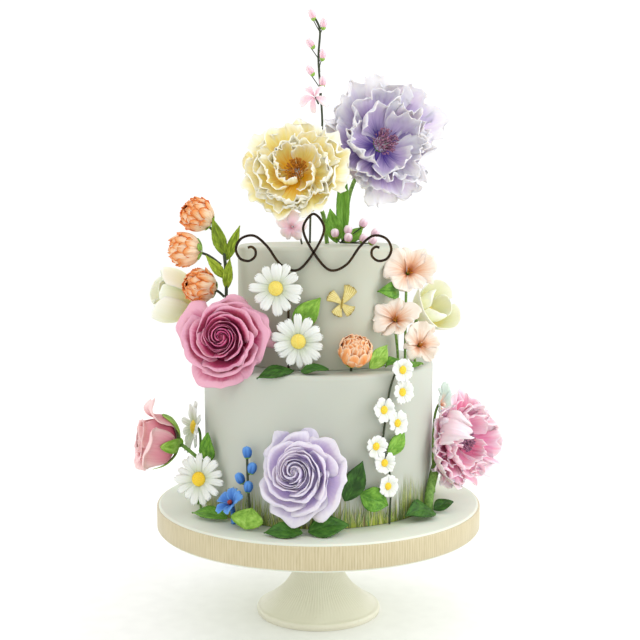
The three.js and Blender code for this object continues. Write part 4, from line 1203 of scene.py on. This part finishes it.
daisy("daisy_upper", (-36.4, -80.5, 316), -12, 0, petals=12)
daisy("daisy_lower", (-17, -86.5, 270.5), -6, 4, petals=14)
daisy("daisy_board", (-106.1, -65, 144), -20, 10, petals=15, eye=EYE,
      wire=[(-106, -64, 144), (-106, -59, 136), (-106, -58, 124), (-106, -58, ON_BOARD)])
daisy("daisy_side", (-114, -19, 182), -69, 6, petals=13, eye=EYE, cup=0.06,
      wire=[(-113.5, -19, 183), (-110, -21, 177), (-109.5, -23, 160), (-110.5, -25, 135),
            (-112, -27, ON_BOARD)])
print("four daisies")

# %% [markdown]
# Small five-petalled blossoms climb the front on a bent dark wire. Each is a cut flower, cupped in
# the palm, with a notch in every petal, and a yellow eye.

# %% The blossoms and their vine
def blossom(node, seat, colour="white", slot="petal_white", eye=EYE, eye_size=0.34, lift=0.24,
            drop=0.24, notch=0.14):
    """seat is the flower's centre, azimuth, elevation and size."""
    dice, place, work = begin_flower(node, *seat)
    profile = [(0.06, 0.0), (0.35, lift * 0.5), (0.75, lift), (1.02, lift * 0.9)]
    petal_ring(work, dice, 5, 38, profile, start=dice.uniform(0, 70), columns=16, rows=10, frill=0.1,
               waves=2.2, notch=notch, drop=drop, foot=0.5, lean=0.03, fray=0.05)
    work.make(node + "_petals", PETALS[colour], node, slot, thickness=0.6)
    middle = Sugarwork(place, seat[-1])
    middle.ball((0, 0, lift * 0.55), OUTWARD, eye_size, 0.14, sides=14, rings=8)
    middle.make(node + "_eye", eye, node, "petal_yellow")


# A blossom on the vine is (degrees round the tier, height, degrees that it looks aside).
VINE_BLOSSOMS = [
    (39.2, 246, -3), (39.2, 226.5, -5), (29.2, 213, 1.5), (36.5, 200, -2), (25.4, 182, 2),
    (29.7, 166.6, -2.5), (31.6, 145.7, -1),
]
BLOSSOM = 11.4
for number, (azimuth, height, aside) in enumerate(VINE_BLOSSOMS, 1):
    size = BLOSSOM * (1 - 0.02 * (number - 1))
    blossom(f"blossom_{number}", (round_point(azimuth, 114, height), azimuth + aside, 4, size))
add_wire("vine_wire", "blossom_vine", [
    round_point(34, 111, ON_BOARD), round_point(35.5, 109, 145), round_point(33.5, 109, 166),
    round_point(31, 109, 184), round_point(32.5, 109, 206), round_point(34.5, 109, 228),
    round_point(37.5, 110.2, 245)], 0.9, DARK_TAPE)
# Its grey-green petals are painted shade: the blossom is whitish and stands behind the tier.
blossom("blossom_back", ((117, 30, 194), 64, 8, 21), "shaded_shell", eye=PETALS["lily"], eye_size=0.1, lift=0.34)
add_wire("blossom_back_wire", "blossom_back",
         [(116.5, 30, 194), (112.5, 26, 182), (110.5, 20, 150), (112, 16, ON_BOARD)], 1.2)
print("eight blossoms")

# %% [markdown]
# Blue buds stand on a dark stalk, with one open blue flower beside them. A bud is an egg with
# pressed seams that sits in a small green cup, its calyx.

# %% Buds in their cups
def bud(skins, cups, centre, axis, radius, half_height, tone=0.5, cup=0.45):
    """A bud in the skins' piece and its cup in the cups' piece."""
    centre, axis = Vector(centre), Vector(axis).normalized()
    skins.ball(centre, axis, radius, half_height, sides=30, rings=12, dents=5, depth=0.3, tone=tone,
               blunt=0.7)
    low = centre - axis * half_height * 0.68
    cups.ball(low, axis, radius * 0.8, half_height * cup, sides=20, rings=8, dents=5, depth=0.3, tone=tone)


def blue_buds():
    skins, cups = Sugarwork(), Sugarwork()
    heads = [(-61.4, -98.5, 175.7), (-57, -101, 162.3), (-67.9, -96, 152.3), (-60.3, -101, 146)]
    leans = [(-0.1, -0.2, 1), (0.2, -0.3, 1), (-0.5, -0.3, 1), (0.1, -0.4, 1)]
    for head, lean in zip(heads, leans):
        bud(skins, cups, head, lean, 4.3, 5.2)
    skins.make("blue_bud_skins", PETALS["blue"], "blue_buds", "petal_blue")
    cups.make("blue_bud_cups", LEAVES["mid"], "blue_buds", "leaf_mid")
    stalk = [round_point(-31, 113, ON_BOARD), (-60, -98.5, 135), (-61, -98.5, 155), (-61.4, -98.5, 174)]
    add_wire("blue_bud_stalk", "blue_buds", stalk, 1.1, DARK_TAPE)
    twigs = Sugarwork()
    twigs.tube([(-61, -98.5, 148), (-64, -97.5, 147), (-67.9, -96, 149)], 0.6, steps=6, sides=6)
    twigs.tube([(-61, -98.5, 156), (-59, -100, 157), (-57, -101, 159)], 0.6, steps=6, sides=6)
    twigs.make("blue_bud_twigs", DARK_TAPE, "blue_buds", "leaf_dark")


blue_buds()
blossom("blue_bloom", ((-75, -95, 129), -50, 45, 14), "blue", "petal_blue", RED_STAMENS, 0.16, 0.42, 0.6, 0)
add_wire("blue_bloom_tube", "blue_bloom", [(-75, -95, 128.5), (-74.4, -91, 120), (-74, -90, ON_BOARD)], 2.2,
         PETALS["blue"], "petal_blue")
print("four blue buds and a blue flower")

# %% [markdown]
# The magnolias at the sides are large pale cups: three broad petals outside, three inside, each
# with a blunt point. Light passes through their thin paste, so they glow a little.

# %% The magnolias
def magnolia(node, centre, azimuth, elevation, size, wire, opening):
    dice, place, work = begin_flower(node, centre, azimuth, elevation, size)
    outer = [(0.08, -0.02), (0.4, 0.16), (0.5 + opening / 3, 0.46), (0.44 + opening, 0.8 - opening / 3),
             (0.4 + 1.3 * opening, 0.94 - opening / 2)]
    inner = [(0.08, 0.0), (0.3, 0.18), (0.38, 0.46), (0.27 + opening / 2, 0.74), (0.22 + opening / 2, 0.84)]
    for profile, spread, start, cup in ((outer, 56, 20, 0.05), (inner, 52, 80, 0.04)):
        petal_ring(work, dice, 3, spread, profile, start=start, columns=18, rows=16, drop=0.3, edge=2.0,
                   lean=0.04, frill=0.02, waves=1.2, foot=0.4, cup=cup)
    work.make(node + "_petals", PETALS["cream"], node, "petal_cream", thickness=0.8)
    heart = Sugarwork(place, size)
    heart.ball((0, 0, 0.2), OUTWARD, 0.1, 0.22, sides=12, rings=8)
    heart.make(node + "_heart", PALE_EYE, node, "petal_yellow")
    add_calyx(node, place, size, -0.02, 0.12, 0.09)
    add_wire(node + "_wire", node, wire, 1.6)


magnolia("magnolia_left", (-117, 0, 297), -78, 15, 42,
         [(-116, 0, 296.5), (-104, 2, 288), (-97, 4, 268), (-95, 5, ON_SHELF)], 0.1)
magnolia("magnolia_right", (97, 12, 286), 42, 22, 35,
         [(96, 12, 285), (92, 13, 275), (91, 13, 260), (91, 13, ON_SHELF)], 0.24)
print("two magnolias")

# %% [markdown]
# Three peach flowers stand at the right on green wires. Their throat is narrow and orange, and
# the petals open into a wide, wavy, almost white rim. A few stamens show in the throat.

# %% The peach lilies
def lily(node, centre, azimuth, elevation, size, wire):
    dice, place, work = begin_flower(node, centre, azimuth, elevation, size)
    profile = [(0.07, 0.02), (0.14, 0.2), (0.34, 0.4), (0.66, 0.53), (0.98, 0.58)]
    petal_ring(work, dice, 5, 44, profile, start=dice.uniform(0, 70), columns=24, rows=14, drop=0.14,
               frill=0.19, waves=1.5, foot=0.6, lean=0.05, edge=6.0, jitter=0.17)
    work.make(node + "_petals", PETALS["lily"], node, "petal_lily", thickness=0.5)
    stamens(node, "petal_lily", place, size, GOLD_STAMENS, 14, 0.12, 0.15, 0.5, 0.5)
    add_calyx(node, place, size, 0.0, 0.11, 0.1, sides=10)
    add_wire(node + "_wire", node, wire, 1.2)


lily("lily_1", (80.5, -34, 325.5), 10, 20, 22,
     [(80.5, -33, 325), (80, -28, 312), (80, -22, 270), (80, -20, ON_SHELF)])
lily("lily_2", (68.5, -51, 284), 0, 24, 19.8,
     [(68.5, -50, 283), (69, -47, 276), (71, -46, 260), (72, -46, ON_SHELF)])
lily("lily_3", (90, -38, 260), 20, 20, 17.6,
     [(90, -37, 260), (88.5, -33, 254), (88, -32, ON_SHELF)])
print("three lilies")

# %% [markdown]
# A tall wire rises behind the peonies. It carries small pale buds in lime cups, left and right in
# turn, and two pink flowers whose narrow petals curl right back.

# %% The tall spray
# A bud is (its centre, how far its tip leans to the side).
SPRAY_BUDS = [((-5.8, 0, 560.4), -0.35), ((4.8, 0, 552.4), 0.1), ((-7.7, 0, 534.5), -0.8),
              ((3.8, 0, 524.6), 0.05), ((-7.7, 0, 510.2), -0.7), ((3.9, 0, 500.3), 0.05)]
MAST = [(-8, 6, ON_TOP), (-6, 8, 400), (3, 6, 450), (2.5, 3, 485), (0, 0, 520), (1.5, 0, 545),
        (-2.5, 0, 556)]


def bud_spray():
    skins, cups, twigs = Sugarwork(), Sugarwork(), Sugarwork()
    for (x, y, z), lean in SPRAY_BUDS:
        bud(skins, cups, (x, y, z), (lean, -0.1, 1), 3.3, 5.0, tone=0.8, cup=0.62)
        twigs.tube([(1.5, 1, z - 16), (x * 0.35, y, z - 10), (x, y, z - 3)], 0.45, steps=6, sides=6)
    skins.make("spray_bud_skins", PETALS["pale_pink"], "bud_spray", "petal_pale_pink")
    cups.make("spray_bud_cups", LEAVES["lime"], "bud_spray", "leaf_lime")
    twigs.make("spray_twigs", DARK_TAPE, "bud_spray", "leaf_dark")
    add_wire("spray_mast", "bud_spray", MAST, 1.0, DARK_TAPE)


CURLED_FLOWER = 18


def curled_flower(node, centre, azimuth, elevation, wire, spread):
    dice, _, work = begin_flower(node, centre, azimuth, elevation, CURLED_FLOWER)
    profile = [(0.07, 0.02), (0.12, 0.24), (0.34, 0.36), (0.6, 0.24), (0.8, -0.02)]
    petal_ring(work, dice, 5, spread, profile, start=dice.uniform(0, 70), columns=12, rows=14, drop=0.35,
               frill=0.1, waves=1.2, foot=0.5, edge=2.0, jitter=0.2)
    work.make(node + "_petals", PETALS["pale_pink"], node, "petal_pale_pink", thickness=0.6)
    add_wire(node + "_wire", node, wire, 0.9, DARK_TAPE)


bud_spray()
curled_flower("spray_flower_high", (-2.5, -8, 484.7), -10, 10,
              [(-2.5, -8, 484.7), (-1, -3, 482), (0, 0.5, 480)], 24)
curled_flower("spray_flower_low", (-22.8, -24, 368), -15, -12,
              [(-22.8, -23, 368), (-21, -20, 365), (-17, -19, 359), (-15, -19, ON_TOP)], 44)
print("a spray of", len(SPRAY_BUDS), "buds")

# %% [markdown]
# A leaf is a sheet from its stalk to its tip. It arches along its length, folds up from the
# midrib to both sides, and its edge waves and has small teeth. Each one is given by its two ends,
# the side that it shows, its width and its green.

# %% A leaf
FORWARD = (0, -1, 0.1)
UPWARD = (0.05, -0.2, 1)


def leaf_place(start, end, outward):
    """The space of a leaf, with x along it and its upper side outwards, and its length."""
    along = Vector(end) - Vector(start)
    forward = along.normalized()
    across = Vector(outward).cross(forward).normalized()
    face = forward.cross(across)
    place = Matrix((forward, across, face)).transposed().to_4x4()
    place.translation = Vector(start)
    return place, along.length


def add_leaf(work, start, end, outward, width, arch=2.0, fold=1.2, wave=0.8, tone=0.5, teeth=11):
    place, length = leaf_place(start, end, outward)
    work.place, kept = place, work.place

    def at(u, v):
        swell = math.sin(math.pi * v)
        tooth = 1 + 0.05 * (1 - (v * teeth) % 1) * abs(u) ** 3 * min(1, 4 * (1 - v))
        half = max(0.25, width / 2 * math.sin(math.pi * v ** 0.8)) * tooth
        press = 0.25 * (1 - math.exp(-((u / 0.12) ** 2))) * swell
        rib = 0.12 * math.cos(2 * math.pi * (8.5 * v - 2.2 * abs(u))) * min(1, 3 * abs(u)) * swell
        lift = arch * swell + fold * abs(u) * swell + wave * math.sin(2.5 * math.pi * v) * u + press + rib
        return (length * v, half * u, lift)

    work.grid(14, 44, at, tone=tone)
    work.place = kept


print("leaves can be veined")

# %% [markdown]
# Single leaves fill the gaps between the flowers, on both shelves and on the board. On the real
# cake each is pushed in by its own wire, so each is a piece of its own here, and one loop makes
# them all from a list of where they lie.

# %% The single leaves
# A leaf is (start, end, outward, width, arch, green).
SINGLE_LEAVES = {
    "leaf_daisy": ((-21, -78.6, 281), (2, -77.8, 307.5), FORWARD, 20, 2, "lime"),
    "leaf_shelf_left": ((-21, -91, 245.5), (-52.7, -99, 240), (-0.3, -0.5, 1), 19, 2, "dark"),
    "leaf_shelf_right": ((-15, -93.5, 245), (9, -97, 247.5), (0.1, -0.5, 1), 13, 2, "dark"),
    "leaf_ranunculus": ((44.5, -79.5, 246), (61, -62, 264), (0.5, -0.9, 0.2), 15, 2, "lime"),
    "leaf_lily_upper": ((72, -43, 310.3), (52.5, -58.6, 311.3), (0.7, -0.8, 0.3), 15, 4, "mid"),
    "leaf_lily_lower": ((76, -61, 250), (59, -76.5, 247), UPWARD, 15, 2.5, "mid"),
    "leaf_lily_small": ((80, -67, 245.6), (94, -50, 245.6), UPWARD, 11, 1, "mid"),
    "leaf_vine_upper": ((60, -93.2, 171.5), (75.5, -83, 192), (0.6, -0.8, 0.1), 15, 1, "mid"),
    "leaf_vine_lower": ((36, -106, 141), (60.5, -97.2, 128.5), (0.4, -0.9, 0.1), 21, 2.5, "mid"),
    "leaf_rose_right": ((22.5, -111.5, 136), (38, -107, 170), (0.25, -0.95, 0.1), 20, 2.5, "dark"),
    "leaf_rose_front_right": ((-8.5, -126, 113.5), (26, -119, 117.5), (0.1, -0.6, 0.8), 22, 3, "dark"),
    "leaf_rose_front_left": ((-13, -128, 113), (-46, -126, 112.6), (-0.1, -0.6, 0.8), 16, 3, "dark"),
    "leaf_blue": ((-62, -113, 111.8), (-57, -104, 128), (-0.3, -0.9, 0.5), 29, 3, "lime"),
    "leaf_daisy_board": ((-80, -84, 113), (-113, -67, 113.6), (-0.2, -0.4, 1), 15, 3, "mid"),
    "leaf_daisy_side": ((-98.5, -56, 157), (-99.5, -54.5, 184), (-0.6, -0.8, 0), 18, 1, "mid"),
    "leaf_peony_left": ((103, -60, 113.5), (76, -91, 117), (0.4, -0.5, 1), 21, 5, "dark"),
    "leaf_peony_right": ((104, -57, 113.5), (123, -46, 118), (0.3, -0.4, 1), 13, 2, "dark"),
    "leaf_top_tall": ((22.8, -9, ON_TOP + 0.3), (22.6, -17.5, 426), (0.1, -1, 0), 12, -3, "mid"),
}
for name, (start, end, outward, width, arch, green) in SINGLE_LEAVES.items():
    work = Sugarwork()
    add_leaf(work, start, end, outward, width, arch, tone=random.Random(name).random())
    work.make(name + "_paste", LEAVES[green], name, "leaf_" + green, thickness=0.9)
print(len(SINGLE_LEAVES), "single leaves")

# %% [markdown]
# The three ranunculus heads at the left hang on a leafy branch. It is one wired bunch in the CAD
# model, so its trunk and its leaves replace one node together.

# %% The leafy branch
def ranunculus_branch():
    trunk = [(-84, -40, ON_SHELF), (-83, -43, 290), (-82.6, -43, 320), (-84.5, -42, 345), (-89, -40, 360),
             (-92, -36, 368)]
    add_wire("branch_trunk", "ranunculus_branch", trunk, 1.5, DARK_TAPE)
    leaves = [
        ((-84, -42, 342), (-94, -47, 376), 12),
        ((-82, -40, 338), (-70.3, -38, 369), 9),
        ((-82.5, -43, 312), (-79, -44, 340), 9),
        ((-83, -42.5, 322), (-100, -50, 343), 9),
    ]
    work = Sugarwork()
    for number, (start, end, width) in enumerate(leaves):
        add_leaf(work, start, end, FORWARD, width, wave=0.4, tone=0.2 + 0.2 * number, teeth=3)
    work.make("branch_leaves", LEAVES["olive"], "ranunculus_branch", "leaf_lime", thickness=0.8)
    return len(leaves)


print("the branch has", ranunculus_branch(), "leaves")

# %% [markdown]
# On top, beside the tall leaf, a cluster of round pink buds stands among small leaves. Its twigs
# all start from one root in the fondant and bow outwards before they reach their buds.

# %% The round pink buds
PINK_BUDS = [(15, -25, 362), (27, -25, 365), (27, -30, 358), (41, -20, 371), (41, -30, 357.5),
             (52, -20, 362), (49, -35, 356)]
BUD_ROOT = Vector((20, -19, ON_TOP + 1.4))


def pink_bud_spray():
    dice = random.Random("pink_bud_spray")
    skins, cups, twigs = Sugarwork(), Sugarwork(), Sugarwork()
    for place in PINK_BUDS:
        away = Vector(place) - BUD_ROOT
        bud(skins, cups, place, (away.x * 0.02, -0.3, 1), 3.9, 4.1, tone=dice.random(), cup=0.6)
        bend = BUD_ROOT + away * 0.6 + Vector((0, 0, -2))
        twigs.tube([BUD_ROOT, bend, Vector(place) - Vector((0, 0, 3))], 0.55, steps=8, sides=6)
    skins.make("pink_bud_skins", PETALS["bud_pink"], "pink_bud_spray", "petal_pale_pink")
    cups.make("pink_bud_cups", LEAVES["olive"], "pink_bud_spray", "leaf_lime")
    twigs.make("pink_bud_twigs", DARK_TAPE, "pink_bud_spray", "leaf_dark")
    work = Sugarwork()
    add_leaf(work, (17, -19, ON_TOP + 1), (10.6, -18, 384), FORWARD, 15, tone=0.5)
    add_leaf(work, (25, -19, ON_TOP + 1.4), (41, -15, 367), FORWARD, 11, tone=0.7)
    work.make("pink_bud_leaves", LEAVES["mid"], "pink_bud_spray", "leaf_mid", thickness=0.8)


pink_bud_spray()
print(len(PINK_BUDS), "round buds")

# %% [markdown]
# A flat scroll, cut from dark mirrored acrylic, stands in front of the upper tier on one long
# pick. It is a plain flourish. Its line is square in section with softened corners, and the bends
# have many steps, because a mirror shows every corner.

# %% The mirrored scroll
SCROLL_LEVEL = 344
SCROLL_PLANE = -77.9
SCROLL_LINE = 2.2
SCROLL_STEPS = 360


def spiral(centre_x, centre_z, start, end, turns, first):
    """Nine points of a spiral, from one reach to another."""
    points = []
    for step in range(9):
        share = step / 8
        angle = math.radians(first + 360 * turns * share)
        reach = start + (end - start) * share
        points.append((centre_x + reach * math.cos(angle), centre_z + reach * math.sin(angle)))
    return points


def mirrored_scroll():
    flourish = [(-44, 8), (-32, -8), (-17, -12), (-2, 6), (5, 24), (-4, 36), (-13, 24), (-6, 6), (9, -12),
                (24, -8), (36, 8)]
    line = spiral(-60, 4, 3, 14, -1.1, 106) + flourish + spiral(52, 4, 14, 3, -1.1, 110)
    last = SCROLL_STEPS
    middle = [curve_at(line, i / last) for i in range(last + 1)]
    half = SCROLL_LINE / 2
    flat = half - 0.25
    corners = [(-half, -flat), (-flat, -half), (flat, -half), (half, -flat),
               (half, flat), (flat, half), (-flat, half), (-half, flat)]
    work = Sugarwork()

    def at(u, v):
        row = round(v * (last + 2)) - 1
        here = min(max(row, 0), last)
        x, z = middle[here]
        ahead = Vector(middle[min(here + 1, last)]) - Vector(middle[max(here - 1, 0)])
        ahead.normalize()
        side, deep = corners[round((u + 1) / 2 * 8) % 8] if 0 <= row <= last else (0, 0)
        return (x - ahead.y * side, SCROLL_PLANE + deep, SCROLL_LEVEL + z + ahead.x * side)

    work.grid(len(corners), last + 2, at, closed=True)
    work.make("mirrored_scroll", MIRROR, "scroll_topper", "topper_mirror")
    pick = Sugarwork()
    pick.tube([(-26, SCROLL_PLANE, height) for height in (ON_SHELF, 296, SCROLL_LEVEL - 9)], 1.1, steps=12)
    pick.make("scroll_pick", MIRROR, "scroll_topper", "topper_mirror")


mirrored_scroll()
print("a scroll of", SCROLL_STEPS, "steps")

# %% [markdown]
# The butterfly is cut from gilt wafer paper: four thin wings with drawn veins and a slim body. It
# rests on the fondant with its wings half open, so they stand off a little at their tips.

# %% The wafer butterfly
# A wing is (length, half its width, the way it points in degrees, how far its tip stands off).
WINGS = [(18, 7.4, 62, 2.0), (15.5, 6.4, 147, 1.6), (12, 6.2, 244, 1.2), (12.5, 6.4, 321, 1.4)]


def wing(length, width, turn, lift):
    angle = math.radians(turn)
    forward = Vector((math.cos(angle), math.sin(angle), 0))
    side = Vector((-math.sin(angle), math.cos(angle), 0))

    def at(u, v):
        end = 1 if v < 0.85 else math.sqrt(max(0.0, 1 - ((v - 0.85) / 0.16) ** 2))
        half = width * (0.1 + 0.9 * v ** 0.9) * end
        scallop = 1 - 0.06 * abs(math.sin(5 * u)) * v ** 3
        bend = 0.06 * length * math.sin(math.pi * v)
        flat = forward * (length * v * scallop) + side * (half * u - bend)
        return flat + Vector((0, 0, 0.9 + lift * v))

    return at


def butterfly():
    place = facing(round_point(15.2, 77, 302), 15.2, 0)
    work = Sugarwork(place)
    for shape in WINGS:
        work.grid(16, 18, wing(*shape))
    work.make("butterfly_wings", WAFER, "butterfly", "gilt_wafer", thickness=0.4)
    body = Sugarwork(place)
    lean = math.radians(10)
    body.ball((0, 0, 1.1), (math.sin(lean), math.cos(lean), 0), 1.0, 6.0, sides=10, rings=10)
    body.make("butterfly_body", GILT_BODY, "butterfly", "gilt_wafer")


butterfly()
print("a butterfly", 2 * WINGS[0][0], "mm wide")

# %% [markdown]
# The studio is plain: a pale floor, a white surround and three soft lights. The surround gives
# most of the light, as white walls do. The light from the right is the strongest of the three and
# shapes the flowers, and the weaker ones at the left and behind lift the tiers' edges.

# %% The floor and the lights
FLOOR_REACH = 30.0
SURROUND_STRENGTH = 1.12
LIGHT_SIZE = 0.8


def studio_floor():
    mesh = bpy.data.meshes.new("studio_floor")
    corners = [(x * FLOOR_REACH, y * FLOOR_REACH, 0) for x, y in ((-1, -1), (1, -1), (1, 1), (-1, 1))]
    mesh.from_pydata(corners, [], [(0, 1, 2, 3)])
    floor = bpy.data.objects.new("studio_floor", mesh)
    finish = Finish("floor_paint")
    grain = noise(finish, surface_place(finish), scale=60)
    colour = ramp(finish, grain, (0.3, "f4f4f2"), (0.7, "f8f8f6"))
    mesh.materials.append(finish.wear(base_color=colour, roughness=0.8))
    scene.collection.objects.link(floor)


def white_surround():
    world = bpy.data.worlds.new("studio_world")
    world.use_nodes = True
    background = world.node_tree.nodes["Background"]
    background.inputs["Color"].default_value = (1.0, 1.0, 1.0, 1.0)
    background.inputs["Strength"].default_value = SURROUND_STRENGTH
    scene.world = world


def soft_light(name, place, target, power):
    data = bpy.data.lights.new(name, "AREA")
    data.energy = power
    data.size = LIGHT_SIZE
    light = bpy.data.objects.new(name, data)
    light.location = place
    light.rotation_euler = (Vector(target) - Vector(place)).to_track_quat("-Z", "Y").to_euler()
    scene.collection.objects.link(light)


studio_floor()
white_surround()
soft_light("left_light", (-1.1, -1.2, 1.3), (0, 0, 0.28), 1.5)
soft_light("right_light", (1.4, -0.2, 0.9), (0, 0, 0.28), 9)
soft_light("back_light", (-0.9, 1.1, 1.1), (0, 0, 0.3), 3)
scene.view_settings.view_transform = "Standard"
print("the studio has", len(bpy.data.lights), "lights")
